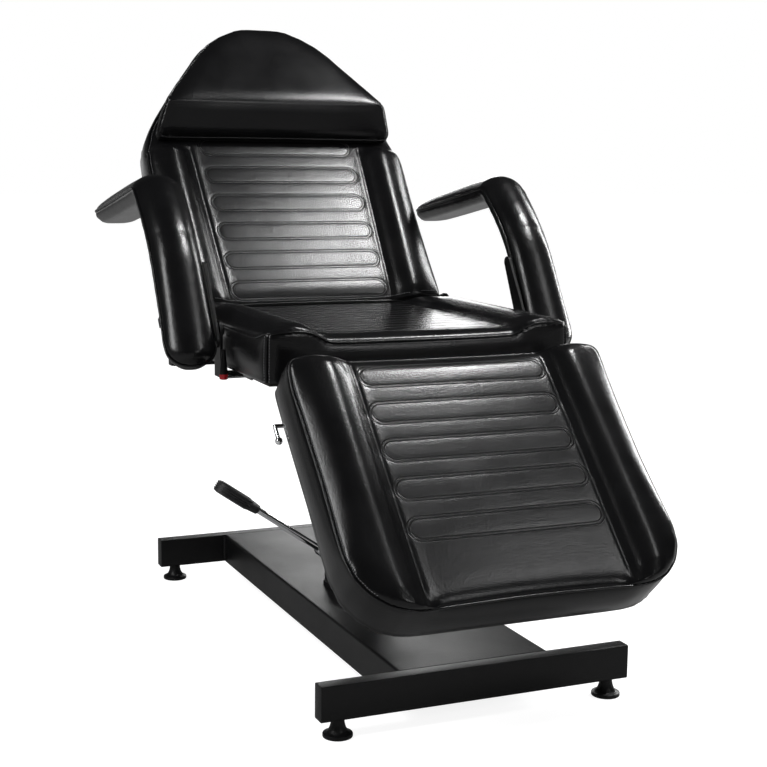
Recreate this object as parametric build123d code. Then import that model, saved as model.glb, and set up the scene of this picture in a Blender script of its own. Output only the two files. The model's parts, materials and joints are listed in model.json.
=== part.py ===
from build123d import *
import os
from math import atan2, cos, degrees, hypot, radians, sin, sqrt

os.makedirs("parts", exist_ok=True)

# A hydraulic tattoo chair, in millimetres and degrees. The origin is on the floor, at the middle
# of the chair's footprint. +Z is up, the sitter faces -Y, and +X is the sitter's left.

# Base: two cross tubes joined by a folded deck, on four levelling feet
BASE_LENGTH = 1006.0
BASE_Y = -50.0
TUBE_LENGTH = 575.0
TUBE_WIDTH = 30.0
TUBE_HEIGHT = 60.0
TUBE_WALL = 2.0
TUBE_CAP = 2.0
CAP_PLUG = 14.0
DECK_WIDTH = 283.0
DECK_SHEET = 3.0
WELD_LEG = 5.0
WELD_MARGIN = 4.0
FOOT_HEIGHT = 31.0
FOOT_RADIUS = 25.0
FOOT_NECK_RADIUS = 10.75
FOOT_RIM = 7.0
FOOT_INSET = 34.4
STUD_RADIUS = 5.0
STUD_REACH = 40.0
NUT_ACROSS = 19.0
NUT_HEIGHT = 10.0

# Pump: a hydraulic cylinder bolted to the deck, with a pedal on its side
PUMP_Y = BASE_Y + 15.0
FLANGE_RADIUS = 78.0
FLANGE_THICK = 10.0
PUMP_RADIUS = 52.0
PUMP_BORE = 30.0
PUMP_HEIGHT = 294.0
GLAND_RADIUS = 55.0
GLAND_HEIGHT = 15.0
PISTON_RADIUS = 25.0
PUMP_FLOOR = 12.0
PISTON_GAP = 0.3
PISTON_HEAD_HEIGHT = 30.0
SKIRT_RADIUS = 76.0
SKIRT_WALL = 2.0
SKIRT_SIDE = 27.0
SKIRT_HEIGHT = 49.0
BOLT_CIRCLE_RADIUS = 63.0
BOLT_RADIUS = 4.0
BOLT_COUNT = 4
BOLT_HEAD = 5.5
BOLT_ACROSS = 13.0
PEDAL_PIVOT_X = -84.0
PEDAL_PIVOT_Z = 165.5
PEDAL_ANGLE = 34.6
PEDAL_ROD_RADIUS = 6.2
PEDAL_PAD_START = 148.0
PEDAL_PAD_LENGTH = 117.0
PEDAL_NECK_LENGTH = 30.0
PEDAL_PAD_WIDTH = 46.0
PEDAL_PAD_THICK = 24.0
PEDAL_RIBS = 9
PEDAL_RIB_DEPTH = 1.6
PEDAL_HUB_RADIUS = 13.0
PEDAL_HUB_WIDTH = 22.0
PEDAL_EAR_ROOT = 32.0
PEDAL_PIN_RADIUS = 5.0

# Seat
SEAT_FRONT = -307.0
SEAT_REAR = 235.0
SEAT_BOTTOM = 539.0
CUSHION_THICK = 83.0
CUSHION_HALF = 299.0
PANEL_HALF = 181.0
EDGE_RISE = 8.0
BOLSTER_RISE = 15.0
SIDE_BULGE = 2.5
WAIST = 2.0
ROLL = 12.0
BOARD_THICK = 12.0
BOARD_INSET = 14.0
ROW_PITCH = 73.7
ROW_HEIGHT = 46.0
ROW_HALF = PANEL_HALF - 4.0
ROW_GROOVE = 6.0
ROW_DEPTH = 1.2
RUN_FIT = 0.05
PLATE_GAP = 0.5
BORE_REACH = CUSHION_HALF + 100.0

# Frame tubes under the three cushions
FRAME_WIDTH = 25.0
FRAME_HEIGHT = 35.0
FRAME_WALL = 1.5
RAIL_X = PANEL_HALF - 11.0
EAR_THICK = 5.0
EAR_RADIUS = 14.0
EAR_ROOT = 40.0
EAR_MARGIN = 3.0
ARM_ROOT = 50.0
PIN_RADIUS = 5.0
PIN_HEAD = 4.0
PIN_HEAD_RADIUS = 9.0
SEAT_PLATE_Y = 220.0
SEAT_PLATE_THICK = 6.0
SOCKET_RADIUS = 38.0
SOCKET_HEIGHT = 22.0
WASHER_THICK = 3.0
SCREW_RADIUS = 3.0
SCREW_HEAD_RADIUS = 6.5
SCREW_HEAD = 3.5
SCREW_INSET = 90.0

# Leg rest: hinged under the front of the seat, and hanging at rest
LEG_Y = -390.0
LEG_Z = SEAT_BOTTOM + 60.0
LEG_DROP = 45.4
LEG_LENGTH = 484.0
LEG_CORNER = 105.0
LEG_ROWS = 5
LEG_FIRST_ROW = 46.0
LEG_HINGE_Y = -324.0
LEG_HINGE_Z = SEAT_BOTTOM - 15.0
LEG_LOWER = 12.0
LEG_CROSS_AT = LEG_LENGTH - 84.0
LEG_RAIL_END = 70.0
LEG_STRUT_Y = -200.0
LEG_STRUT_Z = SEAT_BOTTOM - 84.0
LEG_STRUT_DEPTH = 140.0

# Backrest: hinged at side plates level with the rear of the seat
BACK_Y = 241.0
BACK_Z = SEAT_BOTTOM + 77.0
BACK_ANGLE = 52.7
BACK_START = 4.5
BACK_TOP = 735.0
BACK_PANEL_GROWTH = 16.0
BACK_SHOULDER = 454.0
BACK_TAPER = 0.70
BACK_SHOULDER_BLEND = 26.0
BACK_TOP_CORNER = 62.0
BACK_BOLSTER_END = 421.0
BACK_BOLSTER_FADE = 28.0
BACK_ROWS = 6
BACK_FIRST_ROW = 43.5
BACK_HINGE_Y = 250.0
BACK_HINGE_Z = SEAT_BOTTOM + 73.0
BACK_HINGE_RADIUS = 22.0
BACK_PIN_RADIUS = 6.0
BACK_MORE = 15.0
BACK_TUBE_AT = 40.0
HINGE_GAP = 1.0
STUB_DROP = 5.0
STUB_CLEAR = 2.0
RAIL_SETBACK = 7.0
BACK_CROSS_AT = BACK_TOP - 175.0
BACK_RAIL_END = 60.0
BACK_STRUT_Y = 109.0
BACK_STRUT_Z = SEAT_BOTTOM - 95.0
BACK_STRUT_ANGLE = -12.0

# Pillow on the top of the backrest
PILLOW_START = 423.0
PILLOW_TOP = 698.0
PILLOW_GAP = 0.4
PILLOW_HALF = CUSHION_HALF - 11.0
PILLOW_SHOULDER = 452.0
PILLOW_TAPER = 0.76
PILLOW_BLEND = 40.0
PILLOW_TOP_CORNER = 80.0
PILLOW_LIP = 27.0
PILLOW_RIDGE_AT = 478.0
PILLOW_RIDGE = 84.0
PILLOW_TIP = 76.0
PILLOW_EDGE_DROP = 10.0
PILLOW_EDGE = 16.0

# Armrests: an L of board and foam on each side, hinged to swing back. Its places are of the welt
# line that runs round the pad between the board and the crown.
ARM_INNER = CUSHION_HALF + 21.0
ARM_WIDTH = 100.0
ARM_FOOT_Y = -127.6
ARM_FOOT_Z = SEAT_BOTTOM + 16.0
ARM_BEND_Y = 8.0
ARM_BEND_Z = SEAT_BOTTOM + 242.0
ARM_CORNER_Y = 111.0
ARM_CORNER_Z = SEAT_BOTTOM + 330.0
ARM_TIP_Y = 464.0
ARM_TIP_Z = SEAT_BOTTOM + 267.0
ARM_BOARD = 26.0
ARM_STRIP = 14.0
ARM_BACK_SHARE = 0.68
ARM_CROWN = 26.0
ARM_ROLL = 16.0
ARM_FOOT_CORNER = 42.0
ARM_TIP_CORNER = 34.0
ARM_ELBOW_INSIDE = 6.0
ARM_FAN = 4
ARM_PIVOT_ALONG = 75.0
ARM_PIVOT_DEPTH = 10.0
ARM_PIVOT_RADIUS = 18.0
ARM_PLATE_START = 50.0
ARM_PLATE_LENGTH = 150.0
ARM_PLATE_RADIUS = 11.0
ARM_STUD_RADIUS = 6.0
ARM_COLLAR = 2.5
ARM_NUT_ACROSS = 18.0
ARM_NUT = 6.0
ARM_TAB_WIDTH = 36.0
ARM_TAB_THICK = 8.0
ARM_TAB_DROP = 3.0

# Gas struts
STRUT_RADIUS = 14.0
STRUT_BORE = 11.0
STRUT_ROD_RADIUS = 5.0
STRUT_EYE_RADIUS = 11.0
STRUT_EYE_WIDTH = 14.0
STRUT_GLAND = 8.0
STRUT_GLAND_BORE = 6.0
STRUT_INSERT = 12.0
STRUT_SHOULDER = 22.0
STRUT_FLOOR = 4.0
STRUT_EYE_NECK = 6.0
STRUT_NECK = 26.0
LUG_THICK = 5.0
LUG_RADIUS = 12.0
LUG_GAP = 0.5

# Release levers
RELEASE_Y = -112.0
RELEASE_ROD_RADIUS = 3.5
RELEASE_PIVOT_X = -196.0
RELEASE_HUB_RADIUS = 6.0
RELEASE_HUB_WIDTH = 12.0
RELEASE_PIN_RADIUS = 3.0
RELEASE_CHEEK = 4.0
GRIP_X = -CUSHION_HALF - 11.0
GRIP_HEIGHT = 45.0
GRIP_TOP_RADIUS = 4.5
GRIP_RADIUS = 8.0
GRIP_CAP = 10.0
LEG_RELEASE_AT = 60.0
LEG_RELEASE_OUT = 22.0
LEG_RELEASE_REACH = CUSHION_HALF - 1.0
LEG_RELEASE_CRANK = 30.0
LEG_RELEASE_KNOB = 6.5
LEG_RELEASE_BLOCK = 14.0
LEG_RELEASE_BLOCK_LENGTH = 18.0


# Shapes that repeat
def block(x0, x1, y0, y1, z0, z1):
    return Pos((x0 + x1) / 2, (y0 + y1) / 2, (z0 + z1) / 2) * Box(x1 - x0, y1 - y0, z1 - z0)


def rod_x(x0, x1, y, z, radius):
    return Pos((x0 + x1) / 2, y, z) * Rot(0, 90, 0) * Cylinder(radius, abs(x1 - x0))


def rod_y(x, y0, y1, z, radius):
    return Pos(x, (y0 + y1) / 2, z) * Rot(90, 0, 0) * Cylinder(radius, abs(y1 - y0))


def rod_z(x, y, z0, z1, radius):
    return Pos(x, y, (z0 + z1) / 2) * Cylinder(radius, abs(z1 - z0))


def hexagon_z(x, y, z0, z1, across):
    face = RegularPolygon(across / 2, 6, major_radius=False)
    return Pos(x, y, z0) * extrude(face, z1 - z0)


def both_sides(make):
    return [make(side) for side in (-1, 1)]


def box_tube_y(x, y0, y1, z0, z1, width=FRAME_WIDTH, wall=FRAME_WALL):
    outside = block(x - width / 2, x + width / 2, y0, y1, z0, z1)
    inside = block(x - width / 2 + wall, x + width / 2 - wall, y0, y1, z0 + wall, z1 - wall)
    return outside - inside


def box_tube_x(x0, x1, y, z0, z1, width=FRAME_WIDTH, wall=FRAME_WALL):
    outside = block(x0, x1, y - width / 2, y + width / 2, z0, z1)
    inside = block(x0, x1, y - width / 2 + wall, y + width / 2 - wall, z0 + wall, z1 - wall)
    return outside - inside


def plate_yz(x0, x1, discs, corners=()):
    """A plate across X, whose outline wraps round discs (y, z, radius) and corners (y, z)."""
    outline = [Pos(y, z) * Circle(radius) for y, z, radius in discs]
    outline += [Pos(y, z) * Circle(0.5) for y, z in corners]
    face = make_hull([edge for shape in outline for edge in shape.edges()])
    return Plane.YZ.offset(min(x0, x1)) * extrude(face, abs(x1 - x0))


def save(name, *pieces):
    solids = [solid for piece in pieces for solid in piece.solids()]
    export_step(solids[0] if len(solids) == 1 else Compound(solids), f"parts/{name}.step")


# Where the tilted cushions stand: a local Y along the cushion and a local Z out of its panel
LEG_PLACE = Pos(0, LEG_Y, LEG_Z) * Rot(LEG_DROP, 0, 0)
BACK_PLACE = Pos(0, BACK_Y, BACK_Z) * Rot(BACK_ANGLE, 0, 0)


def to_local(y, z, origin_y, origin_z, angle):
    """The point's place along and out of a cushion that is tilted by the angle."""
    along = (y - origin_y) * cos(radians(angle)) + (z - origin_z) * sin(radians(angle))
    out = (z - origin_z) * cos(radians(angle)) - (y - origin_y) * sin(radians(angle))
    return along, out


LEG_HINGE = to_local(LEG_HINGE_Y, LEG_HINGE_Z, LEG_Y, LEG_Z, LEG_DROP)
BACK_HINGE = to_local(BACK_HINGE_Y, BACK_HINGE_Z, BACK_Y, BACK_Z, BACK_ANGLE)


# Base
def base():
    front = BASE_Y - BASE_LENGTH / 2
    rear = BASE_Y + BASE_LENGTH / 2
    low = FOOT_HEIGHT
    high = FOOT_HEIGHT + TUBE_HEIGHT
    end = TUBE_LENGTH / 2
    foot_x = end - FOOT_INSET
    tube_y = {"front": front + TUBE_WIDTH / 2, "rear": rear - TUBE_WIDTH / 2}

    caps = []
    fasteners = pump_bolts()
    for name, y in tube_y.items():
        tube = box_tube_x(TUBE_CAP - end, end - TUBE_CAP, y, low, high, TUBE_WIDTH, TUBE_WALL)
        for side in (-1, 1):
            tube -= rod_z(side * foot_x, y, low - 1, low + TUBE_WALL + 1, STUD_RADIUS + 1)
            across = (y - TUBE_WIDTH / 2, y + TUBE_WIDTH / 2)
            face = sorted([side * (end - TUBE_CAP), side * end])
            plug = sorted([side * (end - TUBE_CAP - CAP_PLUG), side * (end - TUBE_CAP)])
            cap = block(*face, *across, low, high)
            cap += block(
                *plug, across[0] + TUBE_WALL, across[1] - TUBE_WALL, low + TUBE_WALL, high - TUBE_WALL
            )
            caps.append(cap)
            seat = low + TUBE_WALL
            nut = hexagon_z(side * foot_x, y, seat, seat + NUT_HEIGHT, NUT_ACROSS)
            nut -= rod_z(side * foot_x, y, seat - 1, seat + NUT_HEIGHT + 1, STUD_RADIUS + RUN_FIT)
            fasteners.append(nut)
        save(f"{name}_cross_tube", tube)
    save("tube_end_caps", *caps)
    save("base_fasteners", *fasteners)

    deck_front = front + TUBE_WIDTH
    deck_rear = rear - TUBE_WIDTH
    half = DECK_WIDTH / 2
    deck = block(-half, half, deck_front, deck_rear, low, high)
    deck -= block(DECK_SHEET - half, half - DECK_SHEET, deck_front, deck_rear, low, high - DECK_SHEET)
    for x, y in bolt_places():
        deck -= rod_z(x, y, high - DECK_SHEET - 1, high + 1, BOLT_RADIUS)
    save("deck_plate", deck)

    beads = []
    bead_height = TUBE_HEIGHT - 2 * WELD_MARGIN
    for y, inward in ((deck_front, 1), (deck_rear, -1)):
        for side in (-1, 1):
            corner = (side * half, y)
            along = (side * (half + WELD_LEG), y)
            into = (side * half, y + inward * WELD_LEG)
            face = make_face(Polyline(corner, along, into, close=True))
            beads.append(Pos(0, 0, low + WELD_MARGIN) * extrude(face, bead_height, dir=(0, 0, 1)))
    save("weld_beads", *beads)

    for name, y in tube_y.items():
        for hand, side in (("right", -1), ("left", 1)):
            flare = ThreePointArc(
                (FOOT_RADIUS, FOOT_RIM),
                (FOOT_NECK_RADIUS + 3.5, FOOT_RIM + 6),
                (FOOT_NECK_RADIUS, FOOT_HEIGHT),
            )
            outline = flare + Polyline(
                (FOOT_NECK_RADIUS, FOOT_HEIGHT),
                (0, FOOT_HEIGHT),
                (0, 0),
                (FOOT_RADIUS - 1, 0),
                (FOOT_RADIUS, 1),
                (FOOT_RADIUS, FOOT_RIM),
            )
            pad = revolve(Plane.XZ * make_face(outline), Axis.Z)
            pad -= rod_z(0, 0, FOOT_RIM, FOOT_HEIGHT + 1, STUD_RADIUS)
            stud = rod_z(0, 0, FOOT_RIM, FOOT_HEIGHT + STUD_REACH, STUD_RADIUS)
            save(f"foot_{name}_{hand}", *[Pos(side * foot_x, y, 0) * piece for piece in (pad, stud)])


def bolt_places():
    turns = [radians(45 + 360 * k / BOLT_COUNT) for k in range(BOLT_COUNT)]
    return [(BOLT_CIRCLE_RADIUS * cos(turn), PUMP_Y + BOLT_CIRCLE_RADIUS * sin(turn)) for turn in turns]


# Pump, pedal and lift
DECK_TOP = FOOT_HEIGHT + TUBE_HEIGHT
FLANGE_TOP = DECK_TOP + FLANGE_THICK
PUMP_TOP = FLANGE_TOP + PUMP_HEIGHT
GLAND_TOP = PUMP_TOP + GLAND_HEIGHT
FRAME_TOP = SEAT_BOTTOM
FRAME_BOTTOM = FRAME_TOP - FRAME_HEIGHT
PLATE_BOTTOM = FRAME_BOTTOM - SEAT_PLATE_THICK
PISTON_TOP = PLATE_BOTTOM - PLATE_GAP - WASHER_THICK


def pump_bolts():
    bolts = []
    under = DECK_TOP - DECK_SHEET
    for x, y in bolt_places():
        bolt = rod_z(x, y, under - NUT_HEIGHT, FLANGE_TOP, BOLT_RADIUS)
        bolt += hexagon_z(x, y, FLANGE_TOP, FLANGE_TOP + BOLT_HEAD, BOLT_ACROSS)
        bolt += hexagon_z(x, y, under - BOLT_HEAD, under, BOLT_ACROSS)
        bolts.append(bolt)
    return bolts


def pump():
    flange = rod_z(0, PUMP_Y, DECK_TOP, FLANGE_TOP, FLANGE_RADIUS)
    for x, y in bolt_places():
        flange -= rod_z(x, y, DECK_TOP - 1, FLANGE_TOP + 1, BOLT_RADIUS)
    save("pump_flange", flange)

    cylinder = rod_z(0, PUMP_Y, FLANGE_TOP, PUMP_TOP, PUMP_RADIUS)
    cylinder -= rod_z(0, PUMP_Y, FLANGE_TOP + PUMP_FLOOR, PUMP_TOP + 1, PUMP_BORE)
    save("pump_cylinder", cylinder)
    gland = rod_z(0, PUMP_Y, PUMP_TOP, GLAND_TOP, GLAND_RADIUS)
    gland -= rod_z(0, PUMP_Y, PUMP_TOP - 1, GLAND_TOP + 1, PISTON_RADIUS + RUN_FIT)
    save("pump_gland", gland)

    skirt_top = FLANGE_TOP + SKIRT_HEIGHT
    outline = Polyline(
        (SKIRT_RADIUS, FLANGE_TOP),
        (SKIRT_RADIUS, FLANGE_TOP + SKIRT_SIDE),
        (PUMP_RADIUS, skirt_top),
        (PUMP_RADIUS, skirt_top - 1.5 * SKIRT_WALL),
        (SKIRT_RADIUS - SKIRT_WALL, FLANGE_TOP + SKIRT_SIDE - SKIRT_WALL / 2),
        (SKIRT_RADIUS - SKIRT_WALL, FLANGE_TOP),
        close=True,
    )
    save("pump_skirt", Pos(0, PUMP_Y, 0) * revolve(Plane.XZ * make_face(outline), Axis.Z))

    piston_foot = FLANGE_TOP + PUMP_FLOOR + PISTON_GAP
    head_top = piston_foot + PISTON_HEAD_HEIGHT
    head = rod_z(0, PUMP_Y, piston_foot, head_top, PUMP_BORE - RUN_FIT)
    washer = rod_z(0, PUMP_Y, PISTON_TOP, PISTON_TOP + WASHER_THICK, PISTON_RADIUS - 2)
    save("piston", head, rod_z(0, PUMP_Y, head_top, PISTON_TOP, PISTON_RADIUS), washer)


def pedal():
    half_hub = PEDAL_HUB_WIDTH / 2
    ears = []
    for side in (-1, 1):
        inner = PUMP_Y + side * (half_hub + PLATE_GAP)
        outer = inner + side * EAR_THICK
        face = make_hull(
            (Pos(PEDAL_PIVOT_X, PEDAL_PIVOT_Z) * Circle(PEDAL_HUB_RADIUS)).edges()
            + (Pos(14 - PUMP_RADIUS, PEDAL_PIVOT_Z + 2.5) * Rectangle(10, PEDAL_EAR_ROOT)).edges()
        )
        ear = Pos(0, max(inner, outer), 0) * (Plane.XZ * extrude(face, EAR_THICK))
        ear -= rod_z(0, PUMP_Y, 0, PUMP_TOP, PUMP_RADIUS)
        ear -= rod_y(PEDAL_PIVOT_X, PUMP_Y - 40, PUMP_Y + 40, PEDAL_PIVOT_Z, PEDAL_PIN_RADIUS)
        ears.append(ear)
    save("pedal_ears", *ears)
    reach = half_hub + PLATE_GAP + EAR_THICK
    pin = rod_y(PEDAL_PIVOT_X, PUMP_Y - reach, PUMP_Y + reach, PEDAL_PIVOT_Z, PEDAL_PIN_RADIUS)
    for side in (-1, 1):
        ends = sorted([PUMP_Y + side * reach, PUMP_Y + side * (reach + PIN_HEAD)])
        pin += rod_y(PEDAL_PIVOT_X, *ends, PEDAL_PIVOT_Z, PIN_HEAD_RADIUS)
    save("pedal_pin", pin)

    # The lever is drawn along +X from its pivot, then turned to point up and away from the pump
    place = Pos(PEDAL_PIVOT_X, PUMP_Y, PEDAL_PIVOT_Z) * Rot(0, 180 + PEDAL_ANGLE, 0)
    hub = rod_y(0, -half_hub, half_hub, 0, PEDAL_HUB_RADIUS)
    lever = hub + rod_x(0, PEDAL_PAD_START + PEDAL_NECK_LENGTH, 0, 0, PEDAL_ROD_RADIUS)
    lever -= rod_y(0, -half_hub - 1, half_hub + 1, 0, PEDAL_PIN_RADIUS + RUN_FIT)
    save("pedal_lever", place * lever)

    neck_end = PEDAL_PAD_START + PEDAL_NECK_LENGTH
    tip = PEDAL_PAD_START + PEDAL_PAD_LENGTH
    neck = loft([
        Pos(PEDAL_PAD_START, 0, 0) * Rot(0, 90, 0) * Circle(PEDAL_ROD_RADIUS + 3),
        Pos(neck_end, 0, 0) * Rot(0, 90, 0) * Ellipse(PEDAL_PAD_THICK * 0.42, PEDAL_PAD_WIDTH * 0.36),
    ])
    sole = SlotOverall(tip - neck_end + PEDAL_NECK_LENGTH * 0.6, PEDAL_PAD_WIDTH)
    middle = (tip + neck_end - PEDAL_NECK_LENGTH * 0.6) / 2
    pad = Pos(middle, 0, -PEDAL_PAD_THICK / 2) * extrude(sole, PEDAL_PAD_THICK)
    pad = fillet(pad.edges().filter_by(GeomType.LINE, reverse=True) + pad.edges().filter_by(Plane.XY), 4)
    top = PEDAL_PAD_THICK / 2
    step = (tip - neck_end - 14) / PEDAL_RIBS
    for k in range(PEDAL_RIBS):
        x = neck_end + 8 + k * step
        pad -= block(x, x + step / 2, -PEDAL_PAD_WIDTH, PEDAL_PAD_WIDTH, -top - 1, PEDAL_RIB_DEPTH - top)
    pad = pad + neck
    pad -= rod_x(0, neck_end, 0, 0, PEDAL_ROD_RADIUS)
    save("pedal_pad", place * pad)


# Cushions
def corner_inset(distance, radius):
    """How far a round corner draws the outline in, at a distance from the end."""
    if distance >= radius:
        return 0.0
    return radius - sqrt(radius ** 2 - (radius - distance) ** 2)


def smooth_least(a, b, blend):
    """The lesser of two lengths, with the change from one to the other rounded off."""
    return (a + b - sqrt((a - b) ** 2 + blend ** 2)) / 2


def cushion_section(along, half, panel_half, base, edge, panel, rise):
    """One slice across a cushion: flat below, bulged sides, and a roll each side of the panel."""
    low = half - SIDE_BULGE
    side = half
    middle = (base + edge) / 2
    roll_x = (low + panel_half) / 2
    roll_z = (edge + panel) / 2 + rise
    return Wire([
        Edge.make_line((-low, along, base), (low, along, base)),
        Edge.make_three_point_arc((low, along, base), (side, along, middle), (low, along, edge)),
        Edge.make_three_point_arc((low, along, edge), (roll_x, along, roll_z), (panel_half, along, panel)),
        Edge.make_line((panel_half, along, panel), (-panel_half, along, panel)),
        Edge.make_three_point_arc((-panel_half, along, panel), (-roll_x, along, roll_z), (-low, along, edge)),
        Edge.make_three_point_arc((-low, along, edge), (-side, along, middle), (-low, along, base)),
    ])


def stations(start, end, corner_start, corner_end, extra=()):
    """Places along a cushion, close together where a corner or a rolled end is."""
    shares = (0.0, 0.04, 0.15, 0.35, 0.65, 1.0)
    near_start = [start + share * corner_start for share in shares]
    near_end = [end - share * corner_end for share in shares]
    rolls = [start + 0.4 * ROLL, start + ROLL, end - 0.4 * ROLL, end - ROLL, (start + end) / 2]
    places = sorted(near_start + near_end + rolls + list(extra))
    return [p for k, p in enumerate(places) if k == 0 or p - places[k - 1] > 1.0]


def end_drop(along, start, end):
    return corner_inset(along - start, ROLL) + corner_inset(end - along, ROLL)


def waist(along, start, end):
    """The sides are drawn in a little between the corners."""
    return WAIST * sin(radians(180 * (along - start) / (end - start)))


def row_grooves(first, count, direction=1):
    """Sewn rows with round ends, as grooves into a panel whose face is at zero."""
    rings = []
    for k in range(count):
        y = direction * (first + k * ROW_PITCH)
        outer = SlotOverall(2 * ROW_HALF, ROW_HEIGHT)
        inner = SlotOverall(2 * (ROW_HALF - ROW_GROOVE), ROW_HEIGHT - 2 * ROW_GROOVE)
        rings.append(Pos(0, y, -ROW_DEPTH) * extrude(outer - inner, 2 * ROW_DEPTH))
    return rings


def board(outline_half, start, end, corner_start, corner_end, base):
    """The plywood board that the cover is stapled to, set into the cushion's underside."""
    low = start + BOARD_INSET
    high = end - BOARD_INSET
    places = stations(low, high, max(corner_start - BOARD_INSET, 4), max(corner_end - BOARD_INSET, 4))
    halves = [outline_half(p) - BOARD_INSET for p in places]
    right = [(half, p) for half, p in zip(halves, places)]
    left = [(-half, p) for half, p in zip(reversed(halves), reversed(places))]
    return Pos(0, 0, base) * extrude(make_face(Polyline(*right, *left, close=True)), BOARD_THICK)


def flat_cushion(start, end, corner_start, corner_end, rise_at, extra=()):
    """A seat or leg cushion, with its panel's face at zero, and its board."""
    def half(along):
        inset = corner_inset(along - start, corner_start) + corner_inset(end - along, corner_end)
        return CUSHION_HALF - inset - waist(along, start, end)

    sections = []
    for along in stations(start, end, corner_start, corner_end, extra):
        drop = end_drop(along, start, end)
        width = half(along)
        panel = min(PANEL_HALF, width - 30)
        rise = rise_at(along)
        sections.append(cushion_section(
            along, width, panel, -CUSHION_THICK, EDGE_RISE * rise - drop, -drop, BOLSTER_RISE * rise
        ))
    form = Solid.make_loft(sections, True)
    core = board(half, start, end, corner_start, corner_end, -CUSHION_THICK)
    return form - core, core


def seat_roll(along):
    """The side rolls are lowest at the back, where the backrest comes down on them."""
    return 1.0 - 0.75 * max(0.0, (along - (SEAT_REAR - 160)) / 160)


def seat_cushion():
    form, core = flat_cushion(SEAT_FRONT, SEAT_REAR, 20, 24, seat_roll, (SEAT_REAR - 160, SEAT_REAR - 80))
    first = SEAT_FRONT + ROW_PITCH * 0.85
    for ring in row_grooves(first, 6):
        form -= ring
    place = Pos(0, 0, SEAT_BOTTOM + CUSHION_THICK)
    save("seat_cushion", place * form)
    save("seat_board", place * with_screw_holes(core, SEAT_SCREWS))


def leg_cushion():
    form, core = flat_cushion(-LEG_LENGTH, 0, LEG_CORNER, 18, lambda along: 1.0)
    for ring in row_grooves(LEG_FIRST_ROW, LEG_ROWS, -1):
        form -= ring
    save("leg_cushion", LEG_PLACE * form)
    save("leg_board", LEG_PLACE * with_screw_holes(core, LEG_SCREWS))


def back_half(along):
    taper = CUSHION_HALF - BACK_TAPER * (along - BACK_SHOULDER)
    width = smooth_least(CUSHION_HALF + 2, taper, BACK_SHOULDER_BLEND)
    width = min(width, CUSHION_HALF)
    inset = corner_inset(along - BACK_START, 16) + corner_inset(BACK_TOP - along, BACK_TOP_CORNER)
    return width - inset - waist(along, BACK_START, 2 * BACK_SHOULDER)


def back_cushion():
    extra = [BACK_SHOULDER + step for step in (-60, -30, 0, 30, 60, 110, 160)]
    extra += [BACK_BOLSTER_END, BACK_BOLSTER_END - BACK_BOLSTER_FADE]
    sections = []
    for along in stations(BACK_START, BACK_TOP, 16, BACK_TOP_CORNER, extra):
        drop = end_drop(along, BACK_START, BACK_TOP)
        share = (BACK_BOLSTER_END - along) / BACK_BOLSTER_FADE
        rise = max(0.0, min(1.0, share))
        width = back_half(along)
        panel = PANEL_HALF + BACK_PANEL_GROWTH * along / BACK_BOLSTER_END
        panel = min(panel, width - 30)
        edge = EDGE_RISE * rise - 8 * (1 - rise)
        sections.append(cushion_section(
            along, width, panel, -CUSHION_THICK, edge - drop, -drop, BOLSTER_RISE * rise + 2 * (1 - rise)
        ))
    form = Solid.make_loft(sections, True)
    core = board(back_half, BACK_START, BACK_TOP, 16, BACK_TOP_CORNER, -CUSHION_THICK)
    form -= core
    for ring in row_grooves(BACK_FIRST_ROW, BACK_ROWS):
        form -= ring
    save("back_cushion", BACK_PLACE * form)
    save("back_board", BACK_PLACE * with_screw_holes(core, BACK_SCREWS))


def pillow():
    def half(along):
        taper = PILLOW_HALF - PILLOW_TAPER * (along - PILLOW_SHOULDER)
        width = smooth_least(PILLOW_HALF, taper, PILLOW_BLEND)
        inset = corner_inset(along - PILLOW_START, 14) + corner_inset(PILLOW_TOP - along, PILLOW_TOP_CORNER)
        return width - inset

    def front(along):
        if along < PILLOW_RIDGE_AT:
            share = (along - PILLOW_START) / (PILLOW_RIDGE_AT - PILLOW_START)
            return PILLOW_LIP + share * (PILLOW_RIDGE - PILLOW_LIP)
        share = (along - PILLOW_RIDGE_AT) / (PILLOW_TOP - PILLOW_RIDGE_AT)
        return PILLOW_RIDGE + share * (PILLOW_TIP - PILLOW_RIDGE)

    extra = [PILLOW_RIDGE_AT + step for step in (-6, 0, 6, 50, 100)]
    sections = []
    for along in stations(PILLOW_START, PILLOW_TOP, 14, PILLOW_TOP_CORNER, extra):
        drop = end_drop(along, PILLOW_START, PILLOW_TOP)
        width = half(along)
        face = front(along) - drop
        edge = face - PILLOW_EDGE_DROP
        sections.append(cushion_section(along, width, width - PILLOW_EDGE, PILLOW_GAP, edge, face, 4))
    save("pillow", BACK_PLACE * Solid.make_loft(sections, True))


# Frames under the cushions
LEG_RAIL_X = RAIL_X + EAR_THICK + PLATE_GAP
SEAT_SCREW_PLACES = (SEAT_FRONT + SCREW_INSET, SEAT_REAR - SCREW_INSET)
LEG_SCREW_PLACES = (-SCREW_INSET, SCREW_INSET - LEG_LENGTH)
BACK_SCREW_PLACES = (BACK_START + 2 * SCREW_INSET, BACK_CROSS_AT - SCREW_INSET)
SEAT_SCREWS = [(side * RAIL_X, y) for side in (-1, 1) for y in SEAT_SCREW_PLACES]
LEG_SCREWS = [(side * LEG_RAIL_X, y) for side in (-1, 1) for y in LEG_SCREW_PLACES]
BACK_SCREWS = [(side * RAIL_X, y) for side in (-1, 1) for y in BACK_SCREW_PLACES]


def with_screw_holes(shape, places):
    for x, y in places:
        shape -= rod_z(x, y, -CUSHION_THICK - FRAME_HEIGHT - 1, BOARD_THICK / 2 - CUSHION_THICK, SCREW_RADIUS)
    return shape


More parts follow.
